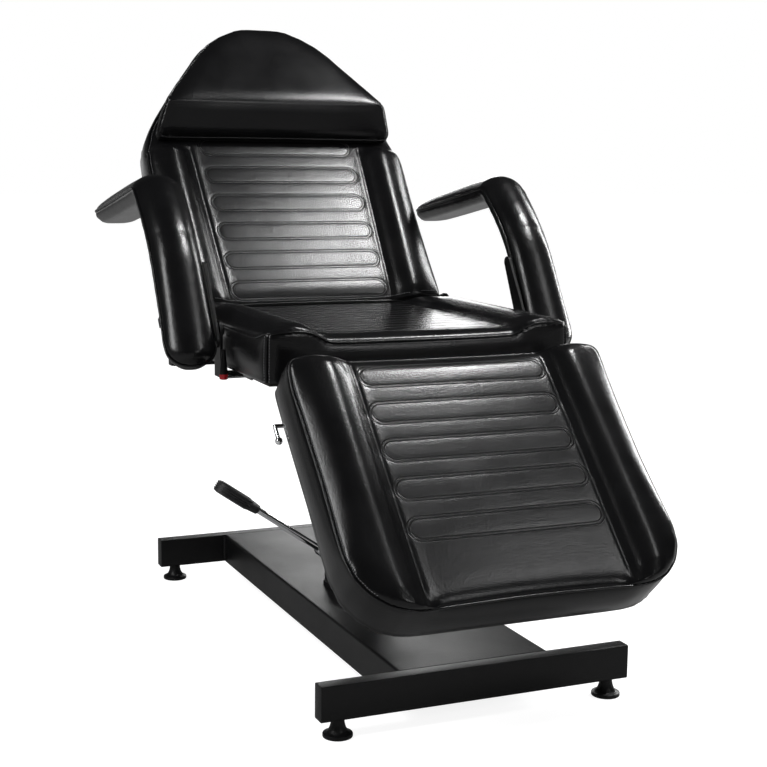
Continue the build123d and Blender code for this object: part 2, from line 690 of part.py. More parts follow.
def frame_screws(places):
    """Screws from under the frame tubes into the board, with the panel's face at zero."""
    low = -CUSHION_THICK - FRAME_HEIGHT
    screws = []
    for x, y in places:
        screw = rod_z(x, y, low, BOARD_THICK / 2 - CUSHION_THICK, SCREW_RADIUS)
        screws.append(screw + rod_z(x, y, low - SCREW_HEAD, low, SCREW_HEAD_RADIUS))
    return screws


def rails(x, start, end, places):
    low = -CUSHION_THICK - FRAME_HEIGHT
    tubes = [box_tube_y(side * x, start, end, low, low + FRAME_HEIGHT) for side in (-1, 1)]
    return [with_screw_holes(tube, places) for tube in tubes]


def cross_tube(half, along):
    low = -CUSHION_THICK - FRAME_HEIGHT
    return box_tube_x(-half, half, along, low, low + FRAME_HEIGHT)


def hinge_stubs(outer, along):
    """Short tubes from the rails out to the hinge plates, which leave the middle to the strut."""
    low = -CUSHION_THICK - FRAME_HEIGHT
    inner = RAIL_X + FRAME_WIDTH / 2
    high = low + FRAME_HEIGHT - STUB_DROP
    return [box_tube_x(*sorted((side * inner, side * outer)), along, low, high) for side in (-1, 1)]


def seat_frame():
    place = Pos(0, 0, SEAT_BOTTOM + CUSHION_THICK)
    inner = RAIL_X - FRAME_WIDTH / 2
    outer = CUSHION_HALF + HINGE_GAP + EAR_THICK + PLATE_GAP
    rear = SEAT_REAR + STUB_CLEAR + FRAME_WIDTH
    stub_y = rear - FRAME_WIDTH / 2
    rail_end = rear - FRAME_WIDTH / 2
    tubes = rails(RAIL_X, SEAT_FRONT + RAIL_SETBACK, rail_end, SEAT_SCREWS)
    save("seat_rails", *[place * tube for tube in tubes])
    cross_tubes = [cross_tube(inner, y) for y in (LEG_STRUT_Y, BACK_STRUT_Y)]
    save("seat_cross_tubes", *[place * tube for tube in cross_tubes + hinge_stubs(outer, stub_y)])

    half_x = RAIL_X + FRAME_WIDTH / 2
    half_y = SEAT_PLATE_Y / 2
    save("seat_plate", block(-half_x, half_x, PUMP_Y - half_y, PUMP_Y + half_y, PLATE_BOTTOM, FRAME_BOTTOM))
    socket = rod_z(0, PUMP_Y, PLATE_BOTTOM - SOCKET_HEIGHT, PLATE_BOTTOM, SOCKET_RADIUS)
    socket -= rod_z(0, PUMP_Y, 0, PLATE_BOTTOM + 1, PISTON_RADIUS + RUN_FIT)
    save("swivel_socket", socket)

    low = FRAME_BOTTOM + 1
    high = FRAME_TOP - STUB_DROP - 1
    corners = [(y, z) for y in (rear - FRAME_WIDTH + 1, rear - 1) for z in (low, high)]
    disc = (BACK_HINGE_Y, BACK_HINGE_Z, BACK_HINGE_RADIUS + 2)

    def hinge_plate(side):
        plate = plate_yz(side * outer, side * (outer + EAR_THICK), [disc], corners)
        return plate - rod_x(-BORE_REACH, BORE_REACH, BACK_HINGE_Y, BACK_HINGE_Z, BACK_PIN_RADIUS)

    save("back_hinge_plates", *both_sides(hinge_plate))

    def leg_ear(side):
        ear = plate_yz(
            side * half_x,
            side * (half_x + EAR_THICK),
            [(LEG_HINGE_Y, LEG_HINGE_Z, EAR_RADIUS)],
            [(SEAT_FRONT + EAR_ROOT, z) for z in (FRAME_BOTTOM + EAR_MARGIN, FRAME_TOP - EAR_MARGIN)],
        )
        return ear - rod_x(-BORE_REACH, BORE_REACH, LEG_HINGE_Y, LEG_HINGE_Z, PIN_RADIUS)

    save("leg_hinge_ears", *both_sides(leg_ear))

    def leg_pin(side):
        end = side * (half_x + 2 * EAR_THICK + 2 * PLATE_GAP)
        pin = rod_x(side * half_x, end, LEG_HINGE_Y, LEG_HINGE_Z, PIN_RADIUS)
        return pin + rod_x(end, end + side * PIN_HEAD, LEG_HINGE_Y, LEG_HINGE_Z, PIN_HEAD_RADIUS)

    def back_pin(side):
        end = side * (outer + EAR_THICK)
        pin = rod_x(side * (CUSHION_HALF + HINGE_GAP), end, BACK_HINGE_Y, BACK_HINGE_Z, BACK_PIN_RADIUS)
        return pin + rod_x(end, end + side * PIN_HEAD, BACK_HINGE_Y, BACK_HINGE_Z, PIN_HEAD_RADIUS + 2)

    save("hinge_pins", *both_sides(leg_pin), *both_sides(back_pin))
    strut_pins = [lug_pin(LEG_STRUT_Y, LEG_STRUT_Z), lug_pin(BACK_STRUT_Y, BACK_STRUT_Z)]
    save("seat_fasteners", *[place * screw for screw in frame_screws(SEAT_SCREWS)], *strut_pins)


def leg_frame():
    start = -LEG_HINGE[0] + EAR_RADIUS + 4
    low = -CUSHION_THICK - FRAME_HEIGHT
    inner = LEG_RAIL_X - FRAME_WIDTH / 2
    tubes = rails(LEG_RAIL_X, LEG_RAIL_END - LEG_LENGTH, -start, LEG_SCREWS)
    cross_tubes = [cross_tube(inner, along) for along in (leg_lug()[0], -LEG_CROSS_AT)]
    save("leg_rails", *[LEG_PLACE * tube for tube in tubes])
    save("leg_cross_tubes", *[LEG_PLACE * tube for tube in cross_tubes])
    screws = frame_screws(LEG_SCREWS) + [lug_pin(*leg_lug())]
    save("leg_fasteners", *[LEG_PLACE * screw for screw in screws])

    def arm(side):
        inside = side * (LEG_RAIL_X + FRAME_WIDTH / 2)
        heights = (low + EAR_MARGIN, low + FRAME_HEIGHT - EAR_MARGIN)
        corners = [(-start - ARM_ROOT, height) for height in heights]
        plate = plate_yz(inside, inside + side * EAR_THICK, [(*LEG_HINGE, EAR_RADIUS)], corners)
        return plate - rod_x(-BORE_REACH, BORE_REACH, *LEG_HINGE, PIN_RADIUS + RUN_FIT)

    save("leg_hinge_arms", *[LEG_PLACE * plate for plate in both_sides(arm)])


def back_frame():
    low = -CUSHION_THICK - FRAME_HEIGHT
    first = BACK_TUBE_AT - FRAME_WIDTH / 2
    inner = RAIL_X - FRAME_WIDTH / 2
    outer = CUSHION_HALF + HINGE_GAP
    tubes = rails(RAIL_X, first, BACK_CROSS_AT + BACK_RAIL_END, BACK_SCREWS)
    save("back_rails", *[BACK_PLACE * tube for tube in tubes])
    cross_tubes = [cross_tube(inner, along) for along in (back_lug()[0], BACK_CROSS_AT)]
    save("back_cross_tubes", *[BACK_PLACE * tube for tube in cross_tubes + hinge_stubs(outer, BACK_TUBE_AT)])
    screws = frame_screws(BACK_SCREWS) + [lug_pin(*back_lug())]
    save("back_fasteners", *[BACK_PLACE * screw for screw in screws])

    def arm(side):
        inside = side * outer
        heights = (low + 2, low + FRAME_HEIGHT - STUB_DROP - 2)
        corners = [(BACK_TUBE_AT + step, height) for step in (-10, 10) for height in heights]
        plate = plate_yz(inside, inside + side * EAR_THICK, [(*BACK_HINGE, BACK_HINGE_RADIUS)], corners)
        return plate - rod_x(-BORE_REACH, BORE_REACH, *BACK_HINGE, BACK_PIN_RADIUS + RUN_FIT)

    save("back_hinge_arms", *[BACK_PLACE * plate for plate in both_sides(arm)])


# Gas struts. Both pivots of a strut lie on one circle round its cushion's hinge, so the strut
# always turns half as far as the cushion, and its rod stays in line with its cylinder.
def leg_lug():
    radius = hypot(LEG_STRUT_Y - LEG_HINGE_Y, LEG_STRUT_Z - LEG_HINGE_Z)
    out = -LEG_STRUT_DEPTH
    return LEG_HINGE[0] - sqrt(radius ** 2 - (out - LEG_HINGE[1]) ** 2), out


def back_lug():
    radius = hypot(BACK_STRUT_Y - BACK_HINGE_Y, BACK_STRUT_Z - BACK_HINGE_Z)
    y = BACK_HINGE_Y + radius * cos(radians(BACK_STRUT_ANGLE))
    z = BACK_HINGE_Z + radius * sin(radians(BACK_STRUT_ANGLE))
    return to_local(y, z, BACK_Y, BACK_Z, BACK_ANGLE)


def lug_pair(y, z, root):
    """Two plates that hang from a cross tube, each side of a strut's eye."""
    plates = []
    for side in (-1, 1):
        inside = side * (STRUT_EYE_WIDTH / 2 + LUG_GAP)
        corners = [(y - FRAME_WIDTH / 2 + 2, root - 0.5), (y + FRAME_WIDTH / 2 - 2, root - 0.5)]
        plate = plate_yz(inside, inside + side * LUG_THICK, [(y, z, LUG_RADIUS)], corners)
        plates.append(plate - rod_x(-100, 100, y, z, PIN_RADIUS))
    return plates


def lug_pin(y, z):
    reach = STRUT_EYE_WIDTH / 2 + LUG_GAP + LUG_THICK
    pin = rod_x(-reach, reach, y, z, PIN_RADIUS)
    for side in (-1, 1):
        pin += rod_x(side * reach, side * (reach + PIN_HEAD), y, z, PIN_HEAD_RADIUS)
    return pin


def strut(name, hinge, fixed, moving, fold, spread):
    """A cylinder on the fixed pivot and a rod on the moving one, drawn along Z and then turned."""
    radius = hypot(fixed[0] - hinge[0], fixed[1] - hinge[1])
    length = hypot(moving[0] - fixed[0], moving[1] - fixed[1])
    opening = 2 * degrees(asin_safe(length / 2 / radius))
    shortest = 2 * radius * sin(radians(opening - fold) / 2)
    longest = 2 * radius * sin(radians(opening + spread) / 2)
    cylinder_end = shortest - STRUT_NECK
    rod_length = longest - cylinder_end + STRUT_INSERT
    print(f"{name}: {shortest:.1f} to {longest:.1f} long, rod {rod_length:.1f}")
    lean = degrees(atan2(moving[1] - fixed[1], moving[0] - fixed[0]))
    turn = Rot(lean - 90, 0, 0)

    eye = rod_x(-STRUT_EYE_WIDTH / 2, STRUT_EYE_WIDTH / 2, 0, 0, STRUT_EYE_RADIUS)
    hole = rod_x(-STRUT_EYE_WIDTH, STRUT_EYE_WIDTH, 0, 0, PIN_RADIUS + RUN_FIT)
    floor = STRUT_SHOULDER + STRUT_FLOOR
    gland = cylinder_end - STRUT_GLAND
    outline = Polyline(
        (0, STRUT_SHOULDER),
        (STRUT_RADIUS, STRUT_SHOULDER),
        (STRUT_RADIUS, cylinder_end),
        (STRUT_GLAND_BORE, cylinder_end),
        (STRUT_GLAND_BORE, gland),
        (STRUT_BORE, gland),
        (STRUT_BORE, floor),
        (0, floor),
        close=True,
    )
    cylinder = revolve(Plane.XZ * make_face(outline), Axis.Z)
    cylinder += rod_z(0, 0, 0, STRUT_SHOULDER, STRUT_EYE_NECK)
    cylinder = cylinder + eye - hole
    save(f"{name}_cylinder", Pos(0, *fixed) * turn * cylinder)
    rod = rod_z(0, 0, -rod_length, 0, STRUT_ROD_RADIUS)
    rod += rod_z(0, 0, -STRUT_EYE_RADIUS - 6, 0, STRUT_EYE_NECK)
    rod = rod + eye - hole
    save(f"{name}_rod", Pos(0, *moving) * turn * rod)


def asin_safe(value):
    return atan2(value, sqrt(1 - value ** 2))


def world(place, along, out):
    spot = (place * Pos(0, along, out)).position
    return spot.Y, spot.Z


def struts():
    seat_lugs = lug_pair(LEG_STRUT_Y, LEG_STRUT_Z, FRAME_BOTTOM)
    seat_lugs += lug_pair(BACK_STRUT_Y, BACK_STRUT_Z, FRAME_BOTTOM)
    save("seat_strut_lugs", *seat_lugs)
    root = -CUSHION_THICK - FRAME_HEIGHT
    save("leg_strut_lugs", *[LEG_PLACE * plate for plate in lug_pair(*leg_lug(), root)])
    save("back_strut_lugs", *[BACK_PLACE * plate for plate in lug_pair(*back_lug(), root)])
    leg_hinge = (LEG_HINGE_Y, LEG_HINGE_Z)
    back_hinge = (BACK_HINGE_Y, BACK_HINGE_Z)
    strut(
        "leg_strut", leg_hinge, (LEG_STRUT_Y, LEG_STRUT_Z), world(LEG_PLACE, *leg_lug()), LEG_LOWER, LEG_DROP
    )
    strut(
        "back_strut", back_hinge, (BACK_STRUT_Y, BACK_STRUT_Z), world(BACK_PLACE, *back_lug()),
        BACK_ANGLE, BACK_MORE,
    )


# Armrests
def arm_section(y, z, lean, half, crown):
    """A slice across an armrest: a narrow back, an upright strip up to the welt, and a crown."""
    back = half * ARM_BACK_SHARE
    outline = Wire([
        Edge.make_line((-back, -ARM_BOARD), (back, -ARM_BOARD)),
        Edge.make_line((back, -ARM_BOARD), (half, -ARM_STRIP)),
        Edge.make_line((half, -ARM_STRIP), (half, 0)),
        Edge.make_three_point_arc((half, 0), (0, crown), (-half, 0)),
        Edge.make_line((-half, 0), (-half, -ARM_STRIP)),
        Edge.make_line((-half, -ARM_STRIP), (-back, -ARM_BOARD)),
    ])
    return Pos(ARM_INNER + ARM_WIDTH / 2, y, z) * Rot(90 + lean, 0, 0) * outline


def lean_of(start, end):
    return degrees(atan2(end[1] - start[1], end[0] - start[0]))


def arm_point(along, depth):
    """A place in the front limb: along it from its foot, and behind its welt line."""
    lean = radians(lean_of((ARM_FOOT_Y, ARM_FOOT_Z), (ARM_BEND_Y, ARM_BEND_Z)))
    y = ARM_FOOT_Y + along * cos(lean) + depth * sin(lean)
    z = ARM_FOOT_Z + along * sin(lean) - depth * cos(lean)
    return y, z


def arm_pad():
    foot = (ARM_FOOT_Y, ARM_FOOT_Z)
    bend = (ARM_BEND_Y, ARM_BEND_Z)
    corner = (ARM_CORNER_Y, ARM_CORNER_Z)
    tip = (ARM_TIP_Y, ARM_TIP_Z)
    leans = [lean_of(foot, bend), lean_of(bend, corner), lean_of(corner, tip)]
    front = hypot(bend[0] - foot[0], bend[1] - foot[1])
    rear = hypot(tip[0] - corner[0], tip[1] - corner[1])
    shares = (0.0, 0.05, 0.18, 0.4, 0.7, 1.0)

    def limb_end(end, lean, sense, radius):
        sections = []
        for share in shares:
            inside = share * radius
            y = end[0] + sense * inside * cos(radians(lean))
            z = end[1] + sense * inside * sin(radians(lean))
            half = ARM_WIDTH / 2 - corner_inset(inside, radius)
            crown = max(ARM_CROWN - corner_inset(inside, ARM_ROLL), 2) * min(1, half / ARM_WIDTH * 2.5)
            sections.append(arm_section(y, z, lean, half, crown))
        return sections

    sections = limb_end(foot, leans[0], 1, ARM_FOOT_CORNER)
    middle = front * 0.6
    half = ARM_WIDTH / 2
    sections.append(arm_section(*arm_point(middle, 0), leans[0], half, ARM_CROWN))
    sections.append(arm_section(*bend, (leans[0] + leans[1]) / 2, half, ARM_CROWN))

    # The welt turns the corner on an arc about a point just behind the board
    radius = ARM_ELBOW_INSIDE + ARM_BOARD
    turn = leans[1] - leans[2]
    tangent = radius * sin(radians(turn / 2)) / cos(radians(turn / 2))
    start = [c - tangent * f(radians(leans[1])) for c, f in zip(corner, (cos, sin))]
    centre = (
        start[0] + radius * sin(radians(leans[1])),
        start[1] - radius * cos(radians(leans[1])),
    )
    for k in range(ARM_FAN + 1):
        lean = leans[1] - turn * k / ARM_FAN
        y = centre[0] - radius * sin(radians(lean))
        z = centre[1] + radius * cos(radians(lean))
        sections.append(arm_section(y, z, lean, half, ARM_CROWN))
    sections.append(arm_section(
        (corner[0] + tip[0]) / 2, (corner[1] + tip[1]) / 2, leans[2], half, ARM_CROWN
    ))
    sections += reversed(limb_end(tip, leans[2], -1, ARM_TIP_CORNER))
    return Solid.make_loft(sections, True)


def armrests():
    pivot = arm_point(ARM_PIVOT_ALONG, ARM_PIVOT_DEPTH)
    plate_x = (ARM_INNER - EAR_THICK, ARM_INNER)
    mount_x = (plate_x[0] - ARM_COLLAR - PLATE_GAP - EAR_THICK, plate_x[0] - ARM_COLLAR - PLATE_GAP)
    ends = (ARM_PLATE_START, ARM_PLATE_START + ARM_PLATE_LENGTH)
    discs = [(*arm_point(along, ARM_STRIP / 2), ARM_PLATE_RADIUS) for along in ends]
    plate = plate_yz(*plate_x, discs + [(*pivot, ARM_PIVOT_RADIUS)])
    stud = rod_x(mount_x[0] - ARM_NUT, plate_x[0], *pivot, ARM_STUD_RADIUS)
    stud += rod_x(plate_x[0] - ARM_COLLAR, plate_x[0], *pivot, ARM_NUT_ACROSS / 2)
    nut = extrude(RegularPolygon(ARM_NUT_ACROSS / 2, 6, major_radius=False), ARM_NUT - PLATE_GAP)
    stud += Pos(mount_x[0] - ARM_NUT, *pivot) * Rot(0, 90, 0) * nut

    tab_top = SEAT_BOTTOM - ARM_TAB_DROP
    tab = (pivot[0] - ARM_TAB_WIDTH / 2, pivot[0] + ARM_TAB_WIDTH / 2)
    corners = [(y, tab_top - ARM_TAB_THICK + 0.5) for y in (tab[0] + 0.5, tab[1] - 0.5)]
    mount = plate_yz(*mount_x, [(*pivot, ARM_PIVOT_RADIUS)], corners)
    mount -= rod_x(0, BORE_REACH, *pivot, ARM_STUD_RADIUS + RUN_FIT)
    arm = block(RAIL_X + FRAME_WIDTH / 2, mount_x[0], *tab, tab_top - ARM_TAB_THICK, tab_top)
    save("armrest_mounts", mount, arm, mirror(mount, Plane.YZ), mirror(arm, Plane.YZ))
    pad = arm_pad()
    for name, shapes in (("armrest", [pad]), ("armrest_plate", [plate, stud])):
        save(f"{name}_right", *[mirror(shape, Plane.YZ) for shape in shapes])
        save(f"{name}_left", *shapes)


# Release levers
RELEASE_PIVOT_Z = SEAT_BOTTOM - 1 - RELEASE_HUB_RADIUS


def back_release():
    half = RELEASE_HUB_WIDTH / 2
    reach = half + PLATE_GAP + RELEASE_CHEEK
    rail = -RAIL_X - FRAME_WIDTH / 2
    cheeks = []
    for side in (-1, 1):
        ends = sorted([RELEASE_Y + side * (half + PLATE_GAP), RELEASE_Y + side * reach])
        cheek = block(RELEASE_PIVOT_X - RELEASE_HUB_RADIUS, rail, *ends, FRAME_BOTTOM + 4, SEAT_BOTTOM - 1)
        cheeks.append(cheek - rod_y(RELEASE_PIVOT_X, *ends, RELEASE_PIVOT_Z, RELEASE_PIN_RADIUS))
    pin = rod_y(RELEASE_PIVOT_X, RELEASE_Y - reach, RELEASE_Y + reach, RELEASE_PIVOT_Z, RELEASE_PIN_RADIUS)
    save("release_bracket", *cheeks, pin)

    hub = rod_y(RELEASE_PIVOT_X, RELEASE_Y - half, RELEASE_Y + half, RELEASE_PIVOT_Z, RELEASE_HUB_RADIUS)
    lever = hub + rod_x(GRIP_X, RELEASE_PIVOT_X, RELEASE_Y, RELEASE_PIVOT_Z, RELEASE_ROD_RADIUS)
    bore = RELEASE_PIN_RADIUS + RUN_FIT
    lever -= rod_y(RELEASE_PIVOT_X, RELEASE_Y - reach, RELEASE_Y + reach, RELEASE_PIVOT_Z, bore)
    save("back_release_lever", lever)

    cap_bottom = RELEASE_PIVOT_Z - GRIP_CAP / 2
    low = cap_bottom + GRIP_CAP
    high = low + GRIP_HEIGHT
    bell = Spline(
        (GRIP_RADIUS, low), (GRIP_RADIUS - 1.5, low + GRIP_HEIGHT * 0.3),
        (GRIP_TOP_RADIUS, low + GRIP_HEIGHT * 0.75), (GRIP_TOP_RADIUS - 0.5, high),
    )
    outline = bell + Polyline((GRIP_TOP_RADIUS - 0.5, high), (0, high), (0, low), (GRIP_RADIUS, low))
    save("back_release_grip", Pos(GRIP_X, RELEASE_Y, 0) * revolve(Plane.XZ * make_face(outline), Axis.Z))
    cap = rod_z(GRIP_X, RELEASE_Y, cap_bottom, low, GRIP_RADIUS)
    cap = fillet(cap.edges().sort_by(Axis.Z)[0], 3)
    cap -= rod_x(GRIP_X, GRIP_X + 30, RELEASE_Y, RELEASE_PIVOT_Z, RELEASE_ROD_RADIUS)
    save("back_release_cap", cap)


def leg_release():
    out = -CUSHION_THICK - LEG_RELEASE_OUT
    along = -LEG_RELEASE_AT
    outer = -LEG_RAIL_X - FRAME_WIDTH / 2 - EAR_THICK
    reach = outer - LEG_RELEASE_BLOCK_LENGTH
    half = LEG_RELEASE_BLOCK / 2
    holder = block(reach, outer, along - half, along + half, out - half, out + half)
    holder -= rod_x(reach - 1, outer + 1, along, out, RELEASE_ROD_RADIUS + RUN_FIT)
    save("leg_release_holder", LEG_PLACE * holder)
    crank = rod_x(-LEG_RELEASE_REACH, outer - PLATE_GAP, along, out, RELEASE_ROD_RADIUS)
    crank += Pos(-LEG_RELEASE_REACH, along, out) * Sphere(RELEASE_ROD_RADIUS)
    crank += rod_y(-LEG_RELEASE_REACH, along - LEG_RELEASE_CRANK, along, out, RELEASE_ROD_RADIUS)
    crank += Pos(-LEG_RELEASE_REACH, along - LEG_RELEASE_CRANK, out) * Sphere(LEG_RELEASE_KNOB)
    save("leg_release_lever", LEG_PLACE * crank)


base()
pump()
pedal()
seat_cushion()
leg_cushion()
back_cushion()
pillow()
seat_frame()
leg_frame()
back_frame()
struts()
armrests()
back_release()
leg_release()
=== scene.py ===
import json
from math import atan2, cos, pi, radians, sin

import bmesh
import bpy
import numpy as np
from mathutils import Matrix, Vector
from mathutils.bvhtree import BVHTree


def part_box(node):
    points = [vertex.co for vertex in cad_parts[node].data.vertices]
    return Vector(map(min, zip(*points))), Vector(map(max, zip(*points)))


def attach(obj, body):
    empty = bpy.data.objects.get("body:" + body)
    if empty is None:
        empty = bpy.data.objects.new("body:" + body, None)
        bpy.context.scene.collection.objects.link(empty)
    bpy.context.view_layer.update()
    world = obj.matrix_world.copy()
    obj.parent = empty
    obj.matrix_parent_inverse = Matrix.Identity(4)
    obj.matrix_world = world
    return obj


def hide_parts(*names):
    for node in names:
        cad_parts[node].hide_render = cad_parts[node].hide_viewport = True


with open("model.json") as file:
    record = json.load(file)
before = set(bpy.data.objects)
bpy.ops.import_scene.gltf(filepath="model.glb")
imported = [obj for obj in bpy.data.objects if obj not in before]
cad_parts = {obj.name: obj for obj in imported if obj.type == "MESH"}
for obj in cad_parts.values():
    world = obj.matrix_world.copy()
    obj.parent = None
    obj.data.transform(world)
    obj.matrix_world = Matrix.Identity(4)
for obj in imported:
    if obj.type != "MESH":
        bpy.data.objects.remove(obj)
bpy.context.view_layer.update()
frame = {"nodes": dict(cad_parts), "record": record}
nodes = frame["nodes"]

# Cross tubes
# Two lengths of 60 x 30 mm box tube carry the chair across its ends. They are welded to the deck
# and powder coated black with it, which softens the tube's rounded corners and its mill marks.

TUBE_CORNER = 0.0028
TUBE_WALL = 0.002
CORNER_FACES = 4
POWDER_BLACK = (0.002, 0.002, 0.0022, 1)
POWDER_WORN = (0.006, 0.006, 0.0065, 1)


def new_material(name):
    """A bare material, with its node tree and its Principled shader."""
    material = bpy.data.materials.new(name)
    material.use_nodes = True
    return material, material.node_tree, material.node_tree.nodes["Principled BSDF"]


def feed(tree, node, inputs):
    """Gives a node's inputs their values, or links them to the outputs that feed them."""
    for socket, value in inputs.items():
        if isinstance(value, bpy.types.NodeSocket):
            tree.links.new(value, node.inputs[socket])
        else:
            node.inputs[socket].default_value = value


def add(tree, kind, inputs=None, **settings):
    """A node with its settings and its inputs, which go by name or by number."""
    node = tree.nodes.new(kind)
    for key, value in settings.items():
        setattr(node, key, value)
    feed(tree, node, inputs or {})
    return node


def new_group(name, numbers, results):
    """A node group that takes coordinates and numbers, and the sockets of what it is given."""
    group = bpy.data.node_groups.new(name, "ShaderNodeTree")
    group.interface.new_socket("Coordinates", in_out="INPUT", socket_type="NodeSocketVector")
    for way, names in (("INPUT", numbers), ("OUTPUT", results)):
        for socket in names:
            group.interface.new_socket(socket, in_out=way, socket_type="NodeSocketFloat")
    return group, add(group, "NodeGroupInput").outputs


def noise(tree, spot, scale, detail, roughness=0.5, distortion=0.0):
    """Cloudy noise over a surface."""
    inputs = {"Vector": spot, "Scale": scale, "Detail": detail}
    inputs |= {"Roughness": roughness, "Distortion": distortion}
    return add(tree, "ShaderNodeTexNoise", inputs).outputs


def mixed(tree, mask, low, high, kind="RGBA"):
    """A colour or a number that goes from low to high with a mask."""
    inputs = {"Factor": mask, "A": low, "B": high}
    return add(tree, "ShaderNodeMix", inputs, data_type=kind).outputs["Result"]


def ranged(tree, value, low, high, start=0.0, end=1.0, **settings):
    """A number that goes from low to high while a value goes from start to end."""
    inputs = {"Value": value, "From Min": start, "From Max": end, "To Min": low, "To Max": high}
    return add(tree, "ShaderNodeMapRange", inputs, **settings).outputs["Result"]


def bumped(tree, height, strength, distance, under=None, **settings):
    """A normal that follows a height, laid over another normal where there is one."""
    inputs = {"Height": height, "Strength": strength, "Distance": distance}
    if under is not None:
        inputs["Normal"] = under
    return add(tree, "ShaderNodeBump", inputs, **settings).outputs["Normal"]


def sprayed_skin_group():
    """The orange-peel skin of a sprayed coat: bumps of a millimetre or two, and broad clouds."""
    group, given = new_group("sprayed skin", ["Scale"], ["Height", "Cloud"])
    fine = noise(group, given["Coordinates"], given["Scale"], 3.0, 0.6)["Fac"]
    cloud = noise(group, given["Coordinates"], 9.0, 4.0, 0.55)["Fac"]
    add(group, "NodeGroupOutput", {"Height": fine, "Cloud": cloud})
    return group


sprayed_skin = sprayed_skin_group()


def skin_of(tree, grain):
    """The sprayed skin as it lies on a piece, its bumps as fine as the grain says."""
    spot = add(tree, "ShaderNodeTexCoord").outputs["Object"]
    inputs = {"Coordinates": spot, "Scale": grain}
    return add(tree, "ShaderNodeGroup", inputs, node_tree=sprayed_skin).outputs


def powder_coat(name, roughness, grain, dark=POWDER_BLACK, worn=POWDER_WORN, shine=0.24):
    """A grained black skin; with its own colours it is also plastic or rubber."""
    material, tree, shader = new_material(name)
    skin = skin_of(tree, grain)
    feed(tree, shader, {
        "Base Color": mixed(tree, skin["Cloud"], dark, worn),
        "Specular IOR Level": shine,
        "Roughness": ranged(tree, skin["Cloud"], roughness - 0.07, roughness + 0.1),
        "Normal": bumped(tree, skin["Height"], 0.5, 0.0008),
    })
    return material


frame_coat = powder_coat("black powder coat", 0.36, 420.0)


def placed(name, data):
    """A new object in the scene."""
    thing = bpy.data.objects.new(name, data)
    bpy.context.scene.collection.objects.link(thing)
    return thing


def finish_mesh(name, bm, material, body):
    """Puts a built mesh into the scene as a piece of its own, riding on its body."""
    mesh = bpy.data.meshes.new(name)
    bm.to_mesh(mesh)
    bm.free()
    mesh.materials.append(material)
    piece = placed(name, mesh)
    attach(piece, body)
    return piece


def smooth(piece, angle=40):
    """Smooth shading, with the edges sharper than the angle kept crisp."""
    bm = bmesh.new()
    bm.from_mesh(piece.data)
    for face in bm.faces:
        face.smooth = True
    for edge in bm.edges:
        if len(edge.link_faces) == 2 and edge.calc_face_angle() > radians(angle):
            edge.smooth = False
    bm.to_mesh(piece.data)
    bm.free()


def box_mesh(low, high):
    """A closed box between two corners."""
    bm = bmesh.new()
    bmesh.ops.create_cube(bm, size=1.0)
    size = Vector(high) - Vector(low)
    bmesh.ops.scale(bm, vec=size, verts=bm.verts)
    bmesh.ops.translate(bm, vec=(Vector(high) + Vector(low)) / 2, verts=bm.verts)
    return bm


def span(edge, axis):
    """How far an edge runs along an axis."""
    return abs(edge.verts[1].co[axis] - edge.verts[0].co[axis])


def round_edges(bm, edges, radius, segments):
    """Takes sharp edges off in a few narrow faces."""
    bmesh.ops.bevel(
        bm, geom=edges, offset=radius, segments=segments, profile=0.5, affect="EDGES", material=-1
    )


for end_name in ("front", "rear"):
    bm = box_mesh(*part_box(f"{end_name}_cross_tube"))
    ends = [face for face in bm.faces if abs(face.normal.x) > 0.9]
    bmesh.ops.delete(bm, geom=ends, context="FACES")
    long_edges = [edge for edge in bm.edges if span(edge, 0) > 0.1]
    round_edges(bm, long_edges, TUBE_CORNER, CORNER_FACES)
    bmesh.ops.solidify(bm, geom=bm.faces[:], thickness=TUBE_WALL)
    bmesh.ops.recalc_face_normals(bm, faces=bm.faces)
    tube = finish_mesh(f"{end_name}_tube", bm, frame_coat, "base")
    smooth(tube)
    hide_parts(f"{end_name}_cross_tube")

# Tube end caps
# Four flat plastic plugs are pressed into the tubes' ends, their plates flush with the tube all
# round, so that only a fine shadow line shows where plastic meets steel.

CAP_PLATE = 0.002
CAP_EDGE = 0.0008
cap_plastic = powder_coat("black cap plastic", 0.42, 500.0)


def gather(bm, part):
    """Adds a built part to a piece that is made of several."""
    spare = bpy.data.meshes.new("part")
    part.to_mesh(spare)
    part.free()
    bm.from_mesh(spare)
    bpy.data.meshes.remove(spare)


bm = bmesh.new()
for end_name in ("front", "rear"):
    low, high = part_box(f"{end_name}_cross_tube")
    for side in (-1, 1):
        inner, outer = side * high.x, side * (high.x + CAP_PLATE)
        plate = box_mesh(
            (min(outer, inner), low.y, low.z), (max(outer, inner), high.y, high.z)
        )
        through = [edge for edge in plate.edges if span(edge, 0) > CAP_PLATE / 2]
        round_edges(plate, through, TUBE_CORNER, CORNER_FACES)
        outer_edges = [
            edge for edge in plate.edges
            if all(abs(vert.co.x - outer) < 1e-5 for vert in edge.verts)
        ]
        round_edges(plate, outer_edges, CAP_EDGE, 2)
        gather(bm, plate)
caps = finish_mesh("end_caps", bm, cap_plastic, "base")
smooth(caps)
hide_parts("tube_end_caps")

# Deck
# One sheet of 3 mm steel is folded down both sides and welded between the cross tubes, with a
# bead of weld up each corner. It is sprayed with the tubes, and its broad top shows the grain.

